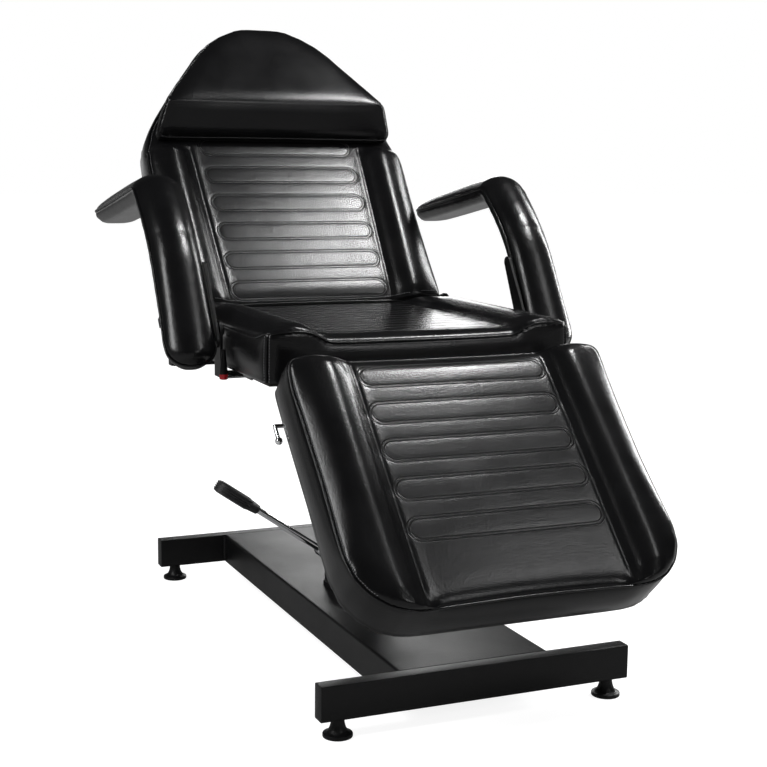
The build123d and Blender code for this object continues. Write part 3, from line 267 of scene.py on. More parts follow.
DECK_SHEET = 0.003
DECK_BEND = 0.005
low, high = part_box("deck_plate")
bm = box_mesh(low, high)
open_faces = [face for face in bm.faces if abs(face.normal.y) > 0.9 or face.normal.z < -0.9]
bmesh.ops.delete(bm, geom=open_faces, context="FACES")
folds = [
    edge for edge in bm.edges
    if span(edge, 1) > 0.1 and all(vert.co.z > high.z - 1e-4 for vert in edge.verts)
]
round_edges(bm, folds, DECK_BEND, 5)
bmesh.ops.solidify(bm, geom=bm.faces[:], thickness=DECK_SHEET)
bmesh.ops.recalc_face_normals(bm, faces=bm.faces)
deck = finish_mesh("deck", bm, frame_coat, "base")
smooth(deck)
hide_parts("deck_plate")

WELD_RADIUS = 0.0046
WELD_RIPPLE = 0.0005
WELD_STEP = 0.0028
WELD_MARGIN = 0.004
TURN_STEPS = 64


def turned(outline, x, y, steps=TURN_STEPS, ring=False):
    """A piece turned about an upright axis; a ring's outline closes, others end on the axis."""
    bm = bmesh.new()
    verts = [bm.verts.new((radius, 0, z)) for radius, z in outline]
    edges = [bm.edges.new(pair) for pair in zip(verts, verts[1:])]
    if ring:
        edges.append(bm.edges.new((verts[-1], verts[0])))
    bmesh.ops.spin(
        bm, geom=verts + edges, axis=(0, 0, 1), cent=(0, 0, 0), angle=2 * pi, steps=steps,
        use_merge=True,
    )
    bmesh.ops.remove_doubles(bm, verts=bm.verts, dist=1e-6)
    bmesh.ops.recalc_face_normals(bm, faces=bm.faces)
    bmesh.ops.translate(bm, vec=(x, y, 0), verts=bm.verts)
    return bm


bm = bmesh.new()
ripples = round((high.z - low.z - 2 * WELD_MARGIN) / WELD_STEP)
bead = [(0, low.z + WELD_MARGIN)]
for step in range(ripples):
    start = low.z + WELD_MARGIN + step * WELD_STEP
    bead.append((WELD_RADIUS - WELD_RIPPLE, start + 0.1 * WELD_STEP))
    bead.append((WELD_RADIUS, start + 0.4 * WELD_STEP))
    bead.append((WELD_RADIUS - 0.3 * WELD_RIPPLE, start + 0.75 * WELD_STEP))
bead.append((0, low.z + WELD_MARGIN + ripples * WELD_STEP))
for x in (low.x, high.x):
    for y in (low.y, high.y):
        gather(bm, turned(bead, x, y, steps=20))
welds = finish_mesh("welds", bm, frame_coat, "base")
smooth(welds, 60)
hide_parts("weld_beads")

# Levelling feet
# Four flared discs of black nylon, each moulded on a zinc plated stud that screws into a nut inside
# the tube, so that the chair stands level on an uneven floor.

FOOT_RADIUS = 0.025
FOOT_NECK = 0.01075
FOOT_TOP = 0.031
FOOT_RIM = 0.007
FLARE_BEND = (0.0125, 0.0088)
FLARE_STEPS = 10
STUD_RADIUS = 0.005
STUD_TOP = 0.071
THREAD_PITCH = 0.0015
THREAD_DEPTH = 0.0006
foot_nylon = powder_coat("black foot nylon", 0.38, 350.0)
flare = [(0, 0), (FOOT_RADIUS - 0.0015, 0), (FOOT_RADIUS - 0.0005, 0.0005), (FOOT_RADIUS, 0.0015)]
flare += [(FOOT_RADIUS, FOOT_RIM - 0.0018), (FOOT_RADIUS - 0.0006, FOOT_RIM - 0.0006)]
for step in range(FLARE_STEPS + 1):
    share = step / FLARE_STEPS
    bend = 2 * share * (1 - share)
    radius = (1 - share) ** 2 * (FOOT_RADIUS - 0.0018) + bend * FLARE_BEND[0]
    height = (1 - share) ** 2 * FOOT_RIM + bend * FLARE_BEND[1]
    flare.append((radius + share ** 2 * FOOT_NECK, height + share ** 2 * (FOOT_TOP - 0.001)))
flare += [(FOOT_NECK - 0.0008, FOOT_TOP - 0.0001), (STUD_RADIUS - THREAD_DEPTH, FOOT_TOP)]
turn = 0
while FOOT_TOP + (turn + 1) * THREAD_PITCH < STUD_TOP:
    flare.append((STUD_RADIUS, FOOT_TOP + (turn + 0.5) * THREAD_PITCH))
    flare.append((STUD_RADIUS - THREAD_DEPTH, FOOT_TOP + (turn + 1) * THREAD_PITCH))
    turn += 1
flare.append((0, STUD_TOP))
for name in ("front_left", "front_right", "rear_left", "rear_right"):
    low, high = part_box(f"foot_{name}")
    foot = turned(flare, (low.x + high.x) / 2, (low.y + high.y) / 2)
    foot = finish_mesh(f"levelling_foot_{name}", foot, foot_nylon, f"foot_{name}")
    smooth(foot, 35)
    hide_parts(f"foot_{name}")

# Every CAD node that keeps its own shape
# Screws, lugs, rails, plates and pins are cut and turned metal, the boards are plywood, and the
# levers' ends are moulded. Their solids have the right shapes, and get their finishes here.

ZINC_DULL = (0.42, 0.42, 0.43, 1)
ZINC_BRIGHT = (0.62, 0.62, 0.62, 1)
CHROME_GREY = (0.78, 0.79, 0.8, 1)
RUBBER_BLACK = (0.012, 0.012, 0.0125, 1)
RUBBER_WORN = (0.030, 0.030, 0.031, 1)
RED_DEEP = (0.34, 0.006, 0.012, 1)
RED_BRIGHT = (0.46, 0.014, 0.02, 1)
STAIN_DARK = (0.010, 0.008, 0.007, 1)
STAIN_THIN = (0.032, 0.026, 0.021, 1)

zinc, tree, shader = new_material("zinc plated steel")
skin = skin_of(tree, 300.0)
feed(tree, shader, {
    "Metallic": 1.0,
    "Base Color": mixed(tree, skin["Cloud"], ZINC_DULL, ZINC_BRIGHT),
    "Roughness": ranged(tree, skin["Height"], 0.25, 0.45),
})

chrome, tree, shader = new_material("polished chrome")
skin = skin_of(tree, 60.0)
feed(tree, shader, {
    "Metallic": 1.0,
    "Base Color": CHROME_GREY,
    "Roughness": ranged(tree, skin["Cloud"], 0.05, 0.14),
})

plastic = powder_coat("black moulded plastic", 0.4, 700.0)
rubber = powder_coat("black rubber", 0.5, 400.0, RUBBER_BLACK, RUBBER_WORN, 0.5)

red_plastic, tree, shader = new_material("red gloss plastic")
skin = skin_of(tree, 200.0)
feed(tree, shader, {
    "Roughness": 0.25,
    "Base Color": mixed(tree, skin["Cloud"], RED_DEEP, RED_BRIGHT),
})

plywood, tree, shader = new_material("black-stained plywood")
spot = add(tree, "ShaderNodeTexCoord").outputs["Object"]
stretch = add(tree, "ShaderNodeMapping", {"Vector": spot, "Scale": (1.0, 14.0, 60.0)})
grain = noise(tree, stretch.outputs["Vector"], 6.0, 6.0, distortion=0.4)["Fac"]
feed(tree, shader, {
    "Roughness": 0.75,
    "Base Color": mixed(tree, grain, STAIN_DARK, STAIN_THIN),
})

finishes = {
    "frame_black": frame_coat,
    "leather_black": frame_coat,
    "chrome": chrome,
    "steel": zinc,
    "plastic_black": plastic,
    "plastic_red": red_plastic,
    "rubber_black": rubber,
    "plywood": plywood,
}
for part in frame["record"]["subparts"]:
    node = nodes[part["node"]]
    node.data.materials.clear()
    node.data.materials.append(finishes[part["material_slot"]])

# Pump
# A hydraulic jack bolted to the deck: a painted cylinder, a turned gland ring round its piston, and
# a pressed chrome skirt over the flange and its bolts.

PUMP_Y = -0.035
cylinder = [(0, 0.101), (0.052, 0.101), (0.052, 0.3885), (0.0512, 0.3893), (0.0512, 0.3915)]
cylinder += [(0.052, 0.3922), (0.052, 0.394), (0.0511, 0.395), (0.030, 0.395), (0.030, 0.113)]
cylinder += [(0, 0.113)]
pump = finish_mesh("pump_jack", turned(cylinder, 0, PUMP_Y), frame_coat, "base")
smooth(pump, 30)
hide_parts("pump_cylinder")

gland = [(0.0254, 0.395), (0.0540, 0.395), (0.055, 0.396), (0.055, 0.4060), (0.0544, 0.4075)]
gland += [(0.0525, 0.4092), (0.0505, 0.410), (0.0285, 0.410), (0.0270, 0.4094), (0.0254, 0.4078)]
gland = finish_mesh("gland_ring", turned(gland, 0, PUMP_Y, ring=True), zinc, "base")
smooth(gland, 30)
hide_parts("pump_gland")

skirt = [(0.076, 0.101), (0.076, 0.122), (0.0757, 0.1258), (0.0747, 0.1292), (0.0728, 0.1321)]
skirt += [(0.0698, 0.1349), (0.0655, 0.1378), (0.0610, 0.1406), (0.0573, 0.1434), (0.0546, 0.1463)]
skirt += [(0.0530, 0.150), (0.0521, 0.150), (0.0521, 0.1466), (0.0540, 0.1435), (0.0575, 0.1404)]
skirt += [(0.0635, 0.1366), (0.0685, 0.1334), (0.0712, 0.1308), (0.0730, 0.1278), (0.0738, 0.1245)]
skirt += [(0.0740, 0.121), (0.0740, 0.101)]
skirt = turned(skirt, 0, PUMP_Y, steps=96, ring=True)
skirt = finish_mesh("chrome_skirt", skirt, chrome, "base")
smooth(skirt, 50)
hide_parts("pump_skirt")

# Pedal
# A chrome bar welded to a turned hub, with a moulded rubber pad pushed over its end. The pad's rim
# has ribs that run round it, and its neck grips the bar.

PEDAL_PLACE = Matrix.Translation((-0.084, PUMP_Y, 0.1655)) @ Matrix.Rotation(radians(214.6), 4, "Y")
BAR_RADIUS = 0.0062
BAR_START = 0.009
BAR_END = 0.204
PAD_MIDDLE = 0.2235
PAD_LENGTH = 0.0410
PAD_WIDTH = 0.0230
PAD_THICK = 0.0120
PAD_RIBS = 4
RIB_DEPTH = 0.0017
along_x = Matrix.Rotation(radians(90), 4, "Y")
along_y = Matrix.Rotation(radians(90), 4, "X")

bar = [(0, BAR_START), (BAR_RADIUS, BAR_START), (BAR_RADIUS, BAR_END), (0, BAR_END)]
bm = turned(bar, 0, 0, steps=48)
bmesh.ops.transform(bm, matrix=along_x, verts=bm.verts)
hub = [(0.00505, -0.011), (0.0122, -0.011), (0.013, -0.0102), (0.013, 0.0102), (0.0122, 0.011)]
hub = turned(hub + [(0.00505, 0.011)], 0, 0, ring=True)
bmesh.ops.transform(hub, matrix=along_y, verts=hub.verts)
gather(bm, hub)
bmesh.ops.transform(bm, matrix=PEDAL_PLACE, verts=bm.verts)
lever = finish_mesh("pedal_bar", bm, chrome, "pedal")
smooth(lever, 35)
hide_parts("pedal_lever")

layers = [(-PAD_THICK, 0.0085), (-PAD_THICK + 0.0012, 0.0040), (-PAD_THICK + 0.0030, 0.0012)]
rib = (2 * PAD_THICK - 0.0064) / PAD_RIBS
for k in range(PAD_RIBS):
    base = -PAD_THICK + 0.0032 + k * rib
    layers += [(base + 0.10 * rib, 0.0003), (base + 0.35 * rib, 0.0), (base + 0.60 * rib, 0.0003)]
    layers += [(base + 0.70 * rib, RIB_DEPTH), (base + 0.95 * rib, RIB_DEPTH)]
layers += [(PAD_THICK - 0.0030, 0.0012), (PAD_THICK - 0.0012, 0.0040), (PAD_THICK, 0.0085)]
bm = bmesh.new()
bmesh.ops.create_circle(bm, cap_ends=False, segments=56, radius=PAD_WIDTH)
loop = bm.edges[:]
for index, (height, inset) in enumerate(layers):
    if index:
        grown = bmesh.ops.extrude_edge_only(bm, edges=loop)["geom"]
        loop = [item for item in grown if isinstance(item, bmesh.types.BMEdge)]
    for vert in {vert for edge in loop for vert in edge.verts}:
        flat = vert.co.xy.normalized() * (PAD_WIDTH - inset)
        vert.co = (flat.x, flat.y, height)
bmesh.ops.holes_fill(bm, edges=bm.edges, sides=0)
for vert in bm.verts:
    if abs(vert.co.x) > 1e-6:
        vert.co.x += (PAD_LENGTH - PAD_WIDTH) * (1 if vert.co.x > 0 else -1)
    vert.co.x += PAD_MIDDLE
neck = [(0, 0.164), (0.0076, 0.164), (0.0088, 0.1652), (0.0092, 0.1675), (0.0100, 0.176)]
neck += [(0.0108, 0.186), (0.0112, 0.196), (0.0090, BAR_END), (0, 0.206)]
neck = turned(neck, 0, 0, steps=48)
for vert in neck.verts:
    vert.co.y *= 1 + 0.5 * min(1.0, max(0.0, (vert.co.z - 0.166) / 0.028))
bmesh.ops.transform(neck, matrix=along_x, verts=neck.verts)
gather(bm, neck)
bmesh.ops.transform(bm, matrix=PEDAL_PLACE, verts=bm.verts)
bmesh.ops.recalc_face_normals(bm, faces=bm.faces)
pad = finish_mesh("pedal_rubber", bm, rubber, "pedal")
smooth(pad, 30)
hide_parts("pedal_pad")

# Seat cushion
# Foam on a plywood board under a stretched leatherette cover, stapled below. The front face is a
# panel of its own, sewn on with a folded seam and a double line of stitches up each corner.

VOXEL = 0.006
COVER_SHRINK = 0.0015
CLOTH_QUALITY = 3
CLOTH_FRAMES = 12
CLOTH_PRESSURE = 4.0
PULL_ROUNDS = 18
FLAT_ROUNDS = 10
SEAT_PLACE = Matrix.Translation((0, 0, 0.622))
SEAT_ROWS = (-0.24435, 6)
SEAT_SWELL = 0.0045
SEAT_FRONT = -0.307
EDGE_ROUND = 0.018
EDGE_DROP = 0.006
EDGE_BLEND = (0.015, 0.040)
ROLL_CREST = 0.276
RIM_CORD = 0.0022
PANEL_HALF = 0.181
PANEL_LENGTH = 0.421
ROW_PITCH = 0.0737
ROW_HEIGHT = 0.046
ROW_HALF = 0.177
ROW_INSET = 0.0028
ROW_PUFF = (0.0001, 0.014)
ROW_PRESS = (0.0003, 0.006)
LINE_HALF_GAP = 0.0026
LINE_WIDTH = 0.0013
LEATHER_BLACK = (0.0018, 0.0018, 0.002, 1)
LEATHER_WORN = (0.0055, 0.0055, 0.006, 1)
GROOVE_BLACK = (0.002, 0.002, 0.002, 1)
LEATHER_SPECULAR = 0.28
PEBBLE_SCALE = 330.0
# The stitch thread is black; these two greys are a painted highlight, standing for the light that
# the stitches catch.
THREAD_PAINTED_HIGHLIGHT_LOW = (0.14, 0.14, 0.145, 1)
THREAD_PAINTED_HIGHLIGHT_HIGH = (0.34, 0.34, 0.35, 1)
STITCH_LENGTH = 0.0032
STITCH_PITCH = 0.0048
STITCH_WIDTH = 0.0009
STITCH_INSET = 0.006
CORNER_INSET = 0.0055
CORNER_TOP = 0.003
CORNER_DROP = 0.0815
CORNER_STEPS = 24
RIM_POINTS = 240
WALL_FOOT = -0.03
BOARD_UNDER = 0.0838
WRAP_REACH = 0.016
WRAP_OUT = 0.0045
SEAM_DEPTH = 0.0016
SEAM_WIDTH = 0.004
PANEL_SEAM = (0.0022, 0.0045)
ROLL_VALLEY = (0.0022, 0.009, 0.010)
ROLL_SHOULDER = (0.0035, 0.020, 0.046)
ROLL_FADES = (0.03, 0.02)
PANEL_EASE = 0.008
PANEL_END_EASE = 0.02
FACE_LEVEL = -0.012
RAY_START = 0.1


def work(tree, operation, *values):
    """A number worked out from others."""
    inputs = dict(enumerate(values))
    return add(tree, "ShaderNodeMath", inputs, operation=operation).outputs["Value"]


def grain_group():
    """Leatherette seen close: fine pebbles, broad soft creases, and a cloudy, uneven polish."""
    group, given = new_group(
        "leather grain", ["Pebble", "Crease"], ["Pebbles", "Creases", "Polish"]
    )
    sway = noise(group, given["Coordinates"], 120.0, 2.0)["Color"]
    inputs = {0: sway, 1: (0.002, 0.002, 0.002), 2: given["Coordinates"]}
    shift = add(group, "ShaderNodeVectorMath", inputs, operation="MULTIPLY_ADD").outputs["Vector"]
    inputs = {"Vector": shift, "Scale": given["Pebble"]}
    cells = add(group, "ShaderNodeTexVoronoi", inputs, feature="F1").outputs["Distance"]
    fine = noise(group, shift, given["Pebble"], 3.0, 0.7)["Fac"]
    add(group, "NodeGroupOutput", {
        "Pebbles": mixed(group, 0.45, cells, fine, "FLOAT"),
        "Creases": noise(group, given["Coordinates"], given["Crease"], 2.0, 0.5, 1.4)["Fac"],
        "Polish": noise(group, given["Coordinates"], 14.0, 4.0)["Fac"],
    })
    return group


def sewn_rows_group():
    """Two lines of stitching 5 mm apart, round each of a column of long rows with round ends."""
    group, given = new_group("sewn rows", ["First", "Rows"], ["Lines"])
    spot = add(group, "ShaderNodeSeparateXYZ", {"Vector": given["Coordinates"]}).outputs
    count = work(group, "DIVIDE", work(group, "SUBTRACT", spot["Y"], given["First"]), ROW_PITCH)
    nearest = work(group, "MAXIMUM", work(group, "ROUND", count), 0.0)
    nearest = work(group, "MINIMUM", nearest, work(group, "SUBTRACT", given["Rows"], 1.0))
    along = work(group, "MULTIPLY", work(group, "SUBTRACT", count, nearest), ROW_PITCH)
    across = work(group, "SUBTRACT", work(group, "ABSOLUTE", spot["X"]), ROW_HALF - ROW_HEIGHT / 2)
    across = work(group, "MAXIMUM", across, 0.0)
    square = work(group, "MULTIPLY", along, along)
    square = work(group, "ADD", square, work(group, "MULTIPLY", across, across))
    ring = work(group, "SUBTRACT", work(group, "SQRT", square), ROW_HEIGHT / 2 - ROW_INSET)
    line = work(group, "SUBTRACT", work(group, "ABSOLUTE", ring), LINE_HALF_GAP)
    line = work(group, "ABSOLUTE", line)
    fade = ranged(group, line, 1.0, 0.0, 0.0, LINE_WIDTH, interpolation_type="SMOOTHSTEP")
    face = work(group, "GREATER_THAN", spot["Z"], FACE_LEVEL)
    add(group, "NodeGroupOutput", {"Lines": work(group, "MULTIPLY", fade, face)})
    return group


leather_grain = grain_group()
sewn_rows = sewn_rows_group()


def leatherette(name, place=None, first=0.0, rows=0, crease=26.0, crease_height=0.0004):
    """Glossy black leatherette; with a place, it also carries a cushion's sewn rows."""
    material, tree, shader = new_material(name)
    spot = add(tree, "ShaderNodeTexCoord").outputs["Object"]
    inputs = {"Coordinates": spot, "Pebble": PEBBLE_SCALE, "Crease": crease}
    grain = add(tree, "ShaderNodeGroup", inputs, node_tree=leather_grain).outputs
    colour = mixed(tree, grain["Polish"], LEATHER_BLACK, LEATHER_WORN)
    rough = ranged(tree, grain["Polish"], 0.205, 0.265, 0.3, 0.7)
    normal = bumped(tree, grain["Pebbles"], 0.8, 0.0003)
    normal = bumped(tree, grain["Creases"], 0.5, crease_height, normal)
    if place is not None:
        inputs = {"Location": place.to_translation(), "Rotation": place.to_euler()}
        turn = add(tree, "ShaderNodeMapping", inputs | {"Vector": spot}, vector_type="TEXTURE")
        inputs = {"Coordinates": turn.outputs["Vector"], "First": first, "Rows": rows}
        lines = add(tree, "ShaderNodeGroup", inputs, node_tree=sewn_rows).outputs["Lines"]
        normal = bumped(tree, lines, 0.8, 0.0010, normal, invert=True)
        colour = mixed(tree, lines, colour, GROOVE_BLACK)
        rough = work(tree, "MULTIPLY_ADD", lines, 0.3, rough)
    feed(tree, shader, {
        "Base Color": colour,
        "Roughness": rough,
        "Normal": normal,
        "Specular IOR Level": LEATHER_SPECULAR,
    })
    return material


def settle(piece):
    """Makes what the modifiers give the piece's own mesh, and takes them off."""
    graph = bpy.context.evaluated_depsgraph_get()
    mesh = bpy.data.meshes.new_from_object(piece.evaluated_get(graph))
    piece.modifiers.clear()
    piece.data = mesh


def cover(name, node, place, voxel, softening):
    """The foam's form in small even faces laid along it, drawn in a little and softened."""
    bm = bmesh.new()
    bm.from_mesh(nodes[node].data)
    bmesh.ops.remove_doubles(bm, verts=bm.verts, dist=0.00001)
    bm.transform(place.inverted())
    mesh = bpy.data.meshes.new(name)
    bm.to_mesh(mesh)
    bm.free()
    piece = placed(name, mesh)
    even = piece.modifiers.new("even", "REMESH")
    even.mode = "VOXEL"
    even.voxel_size = voxel
    soften = piece.modifiers.new("soften", "SMOOTH")
    soften.factor = 0.5
    soften.iterations = softening
    drawn_in = piece.modifiers.new("drawn in", "DISPLACE")
    drawn_in.mid_level = 0.0
    drawn_in.strength = -COVER_SHRINK
    settle(piece)
    piece.data.transform(place)
    return piece


def triples(rows, field):
    """Three numbers from each row of a mesh."""
    values = np.empty(len(rows) * 3, dtype=np.float32)
    rows.foreach_get(field, values)
    return values.reshape(-1, 3).astype(np.float64)


def points_of(piece):
    return triples(piece.data.vertices, "co")


def normals_of(piece):
    return triples(piece.data.vertex_normals, "vector")


def set_points(piece, points):
    piece.data.vertices.foreach_set("co", points.astype(np.float32).ravel())
    piece.data.update()


def local(place, points, normals):
    """Points and normals as the cushion's own frame has them."""
    back = np.array(place.inverted())
    return points @ back[:3, :3].T + back[:3, 3], normals @ back[:3, :3].T


def evened(piece, values, rounds, share=None):
    """Evens values out over the cover, as its backing does with a pull or a kink."""
    ends = np.empty(len(piece.data.edges) * 2, dtype=np.int32)
    piece.data.edges.foreach_get("vertices", ends)
    a, b = ends.reshape(-1, 2).T
    count = np.bincount(a, minlength=len(values)) + np.bincount(b, minlength=len(values))
    weight = 0.5 if share is None else 0.5 * share[:, None]
    for _ in range(rounds):
        total = np.empty_like(values)
        for axis in range(3):
            total[:, axis] = np.bincount(a, values[b, axis], len(values))
            total[:, axis] += np.bincount(b, values[a, axis], len(values))
        values = values + weight * (total / count[:, None] - values)
    return values


def flatten_panel(piece, place, half, low, high):
    """Brings the sunk panel to one even level before its rows are sewn."""
    points = points_of(piece)
    inside, facing = local(place, points, normals_of(piece))
    share = np.clip((half(inside[:, 1]) - np.abs(inside[:, 0])) / PANEL_EASE, 0.0, 1.0)
    share *= np.clip((inside[:, 1] - low) / PANEL_END_EASE, 0.0, 1.0)
    share *= np.clip((high - inside[:, 1]) / PANEL_END_EASE, 0.0, 1.0)
    share *= facing[:, 2] > 0.5
    drop = share * (-COVER_SHRINK - inside[:, 2])
    set_points(piece, points + drop[:, None] * np.array(place)[:3, 2])


def swell(piece, place, most):
    """Foam presses the cover out from inside; the board keeps the underside flat."""
    start = points_of(piece)
    normals = normals_of(piece)
    cloth = piece.modifiers.new("cloth", "CLOTH")
    cloth.settings.quality = CLOTH_QUALITY
    cloth.settings.use_pressure = True
    cloth.settings.uniform_pressure_force = CLOTH_PRESSURE
    cloth.settings.effector_weights.gravity = 0
    for step in range(1, CLOTH_FRAMES + 1):
        bpy.context.scene.frame_set(step)
    settle(piece)
    bpy.context.scene.frame_set(1)
    move = points_of(piece) - start
    reach = np.maximum(np.linalg.norm(move, axis=1), 1e-9)
    inside, facing = local(place, start, normals)
    limit = most * np.clip(facing[:, 2] * 2.5 + 2.0, 0.0, 1.0)
    move *= np.minimum(1.0, limit / reach)[:, None]
    points = start + evened(piece, move, PULL_ROUNDS)
    flat = np.clip((np.abs(facing[:, 2]) - 0.90) / 0.06, 0.0, 1.0)
    set_points(piece, evened(piece, points, FLAT_ROUNDS, flat))
    finer = piece.modifiers.new("finer", "SUBSURF")
    finer.levels = 1
    finer.render_levels = 1
    settle(piece)


def ridge(out, height, width, middle=0.0):
    """A smooth ridge along a line, by its height, its width and how far out its crest is."""
    return height * np.exp(-((out - middle) / width) ** 2)


def row_depth(x, y, first, rows):
    """How far the cover goes in at the rows' stitches, and stands out inside them."""
    nearest = np.clip(np.round((y - first) / ROW_PITCH), 0, rows - 1)
    along = y - first - nearest * ROW_PITCH
    across = np.maximum(np.abs(x) - (ROW_HALF - ROW_HEIGHT / 2), 0.0)
    ring = np.hypot(along, across) - (ROW_HEIGHT / 2 - ROW_INSET)
    height, width = ROW_PUFF
    return height * np.clip(-ring / width, 0.0, 1.0) - ridge(ring, *ROW_PRESS)


def panel_depth(x, y, half, first, rows, low, high):
    """A cushion's face: the seams beside its panel, its side rolls squared up, and its rows."""
    start, end = ROLL_FADES
    ends = np.clip((y - low) / start, 0.0, 1.0) * np.clip((high - y) / end, 0.0, 1.0)
    out = np.abs(x) - half
    shape = ridge(out, *ROLL_SHOULDER) - ridge(out, *PANEL_SEAM) - ridge(out, *ROLL_VALLEY)
    return ends * shape + np.where(out < -0.002, row_depth(x, y, first, rows), 0.0)


def wrap_under(piece, place):
    """The cover goes on round the board's edge, and lies flat under it."""
    points = points_of(piece)
    inside, facing = local(place, points, normals_of(piece))
    level = -BOARD_UNDER
    lift = np.where(inside[:, 2] < level + 0.006, level - inside[:, 2], 0.0)
    low = np.clip((level + WRAP_REACH - inside[:, 2]) / WRAP_REACH, 0.0, 1.0)
    out = facing * np.array((1.0, 1.0, 0.0)) * (WRAP_OUT * low)[:, None]
    out[:, 2] = lift
    set_points(piece, points + out @ np.array(place)[:3, :3].T)


def sewn_cover(body, place, softening, most, rows, flat, ends, widening=0.0):
    """A cushion's cover, with its panel, rolls and rows, wrapped round the board."""
    piece = cover(f"{body}_pad", f"{body}_cushion", place, VOXEL, softening)

    def half(y):
        return PANEL_HALF + widening * y / PANEL_LENGTH

    flatten_panel(piece, place, half, *flat)
    swell(piece, place, most)
    points, normals = points_of(piece), normals_of(piece)
    inside, facing = local(place, points, normals)
    x, y, z = inside.T
    face = np.clip(facing[:, 2] * 2 - 0.6, 0.0, 1.0) * (z > WALL_FOOT)
    shift = face * panel_depth(x, y, half(y), *rows, *ends)
    set_points(piece, points + normals * shift[:, None])
    wrap_under(piece, place)
    return piece


def press_seam(piece, line, depth=SEAM_DEPTH):
    """Draws the cover in along a seam, less and less with the distance from it."""
    points = points_of(piece)
    closest = np.full(len(points), 1e9)
    for spot, _ in line:
        away = np.sum((points - np.array(spot)) ** 2, axis=1)
        closest = np.minimum(closest, away)
    pull = depth * np.exp(-closest / SEAM_WIDTH ** 2)
    set_points(piece, points - normals_of(piece) * pull[:, None])


def dress(piece, material, body):
    """Gives a sewn piece its leatherette, smooth shading and body."""
    for face in piece.data.polygons:
        face.use_smooth = True
    piece.data.materials.clear()
    piece.data.materials.append(material)
    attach(piece, body)


def finish_cover(piece, material, body, node):
    """Dresses a padded cover, which stands for its solid."""
    dress(piece, material, body)
    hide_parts(node)


def tree_of(piece):
    """The cover as rays and searches meet it."""
    bm = bmesh.new()
    bm.from_mesh(piece.data)
    found = BVHTree.FromBMesh(bm)
    bm.free()
    return found


def on_cover(surface, place, rays):
    """Where rays meet the cover; a ray is a start and an aim in the cushion's frame."""
    line = []
    for start, aim in rays:
        origin = place @ Vector(start)
        direction = (place @ Vector(aim) - origin).normalized()
        spot, normal, _, _ = surface.ray_cast(origin, direction)
        if spot is not None:
            line.append((spot, normal))
    return line


def even_steps(line, step):
    """The line's places at one spacing, each with its direction."""
    spots, normals = zip(*line)
    out = []
    left = 0.0
    for a, b, na, nb in zip(spots, spots[1:], normals, normals[1:]):
        run = (b - a).length
        while left < run:
            share = left / run
            out.append((a.lerp(b, share), (b - a).normalized(), na.lerp(nb, share).normalized()))
            left += step
        left -= run
    return out


def rim(piece, place, centre, level, foot=WALL_FOOT, above=RAY_START, inward=0.003, below=0.0):
    """The edge where a cushion's face meets its side wall, all round."""
    surface = tree_of(piece)
    middle = Vector(centre)
    line = []
    for step in range(RIM_POINTS):
        turn = 2 * pi * step / RIM_POINTS
        out = Vector((cos(turn), sin(turn)))
        wall = on_cover(surface, place, [((*(middle + out), foot), (*middle, foot))])
        if not wall:
            continue
        spot = place.inverted() @ wall[0][0]
        z = level(spot.x, spot.y)
        begin = spot.xy + out * RAY_START
        aim = spot.xy - out * inward
        line += on_cover(surface, place, [((*begin, z + above), (*aim, z - below))])
    return line


def end_seam(piece, place, end, inward, sides):
    """A rim seam's height: even along the sides, and just under the face's edge at one end."""
    face = tree_of(piece)
    along = end + inward * EDGE_ROUND
    start, length = EDGE_BLEND

    def level(x, y):
        across = max(-ROLL_CREST, min(ROLL_CREST, x))
        top = on_cover(face, place, [((across, along, RAY_START), (across, along, 0.0))])
        height = (place.inverted() @ top[0][0]).z - EDGE_DROP
        share = min(1.0, max(0.0, (start + length - inward * (y - end)) / length))
        return sides + share * (height - sides)

    return level


def stitches(bm, line, offset, surface):
    """Short raised threads beside a seam, offset across it and lying on the cover."""
    for spot, along, normal in even_steps(line, STITCH_PITCH):
        across = normal.cross(along).normalized()
        lying, facing, _, _ = surface.find_nearest(spot + across * offset)
        across = facing.cross(along).normalized()
        ahead = across.cross(facing).normalized()
        turn = Matrix((ahead, across, facing)).transposed().to_4x4()
        size = Matrix.Diagonal((STITCH_LENGTH / 2, STITCH_WIDTH / 2, STITCH_WIDTH / 2, 1))
        bmesh.ops.create_icosphere(
            bm, subdivisions=1, radius=1.0, matrix=Matrix.Translation(lying) @ turn @ size
        )


# Black thread whose grey colour is a painted highlight for the light that the stitches catch,
# spread from darker to lighter by a random twist.
thread, tree, shader = new_material("waxed black thread, painted highlight")
twist = noise(tree, add(tree, "ShaderNodeTexCoord").outputs["Object"], 1500.0, 1.0)["Fac"]
feed(tree, shader, {"Base Color": mixed(tree, twist, THREAD_PAINTED_HIGHLIGHT_LOW, THREAD_PAINTED_HIGHLIGHT_HIGH), "Roughness": 0.5})


def piping(name, line, radius, material, body, closed=False):
    """A welt: a cord in a folded strip of the cover, half sunk in the seam."""
    curve = bpy.data.curves.new(name, "CURVE")
    curve.dimensions = "3D"
    curve.bevel_depth = radius
    curve.bevel_resolution = 3
    curve.use_fill_caps = not closed
    run = curve.splines.new("NURBS")
    run.points.add(len(line) - 1)
    for point, (spot, _) in zip(run.points, line):
        point.co = (*spot, 1)
    run.order_u = 3
    run.use_cyclic_u = closed
    run.use_endpoint_u = not closed
    run.resolution_u = 3
    cord = placed(name, curve)
    graph = bpy.context.evaluated_depsgraph_get()
    mesh = bpy.data.meshes.new_from_object(cord.evaluated_get(graph))
    bpy.data.objects.remove(cord)
    bpy.data.curves.remove(curve)
    dress(placed(name, mesh), material, body)


def rim_seam(piece, place, body, leather, centre, level):
    """The folded seam round a cushion's face."""
    line = rim(piece, place, centre, level)
    press_seam(piece, line)
    piping(f"{body}_rim_seam", line, RIM_CORD, leather, body, closed=True)
    return line


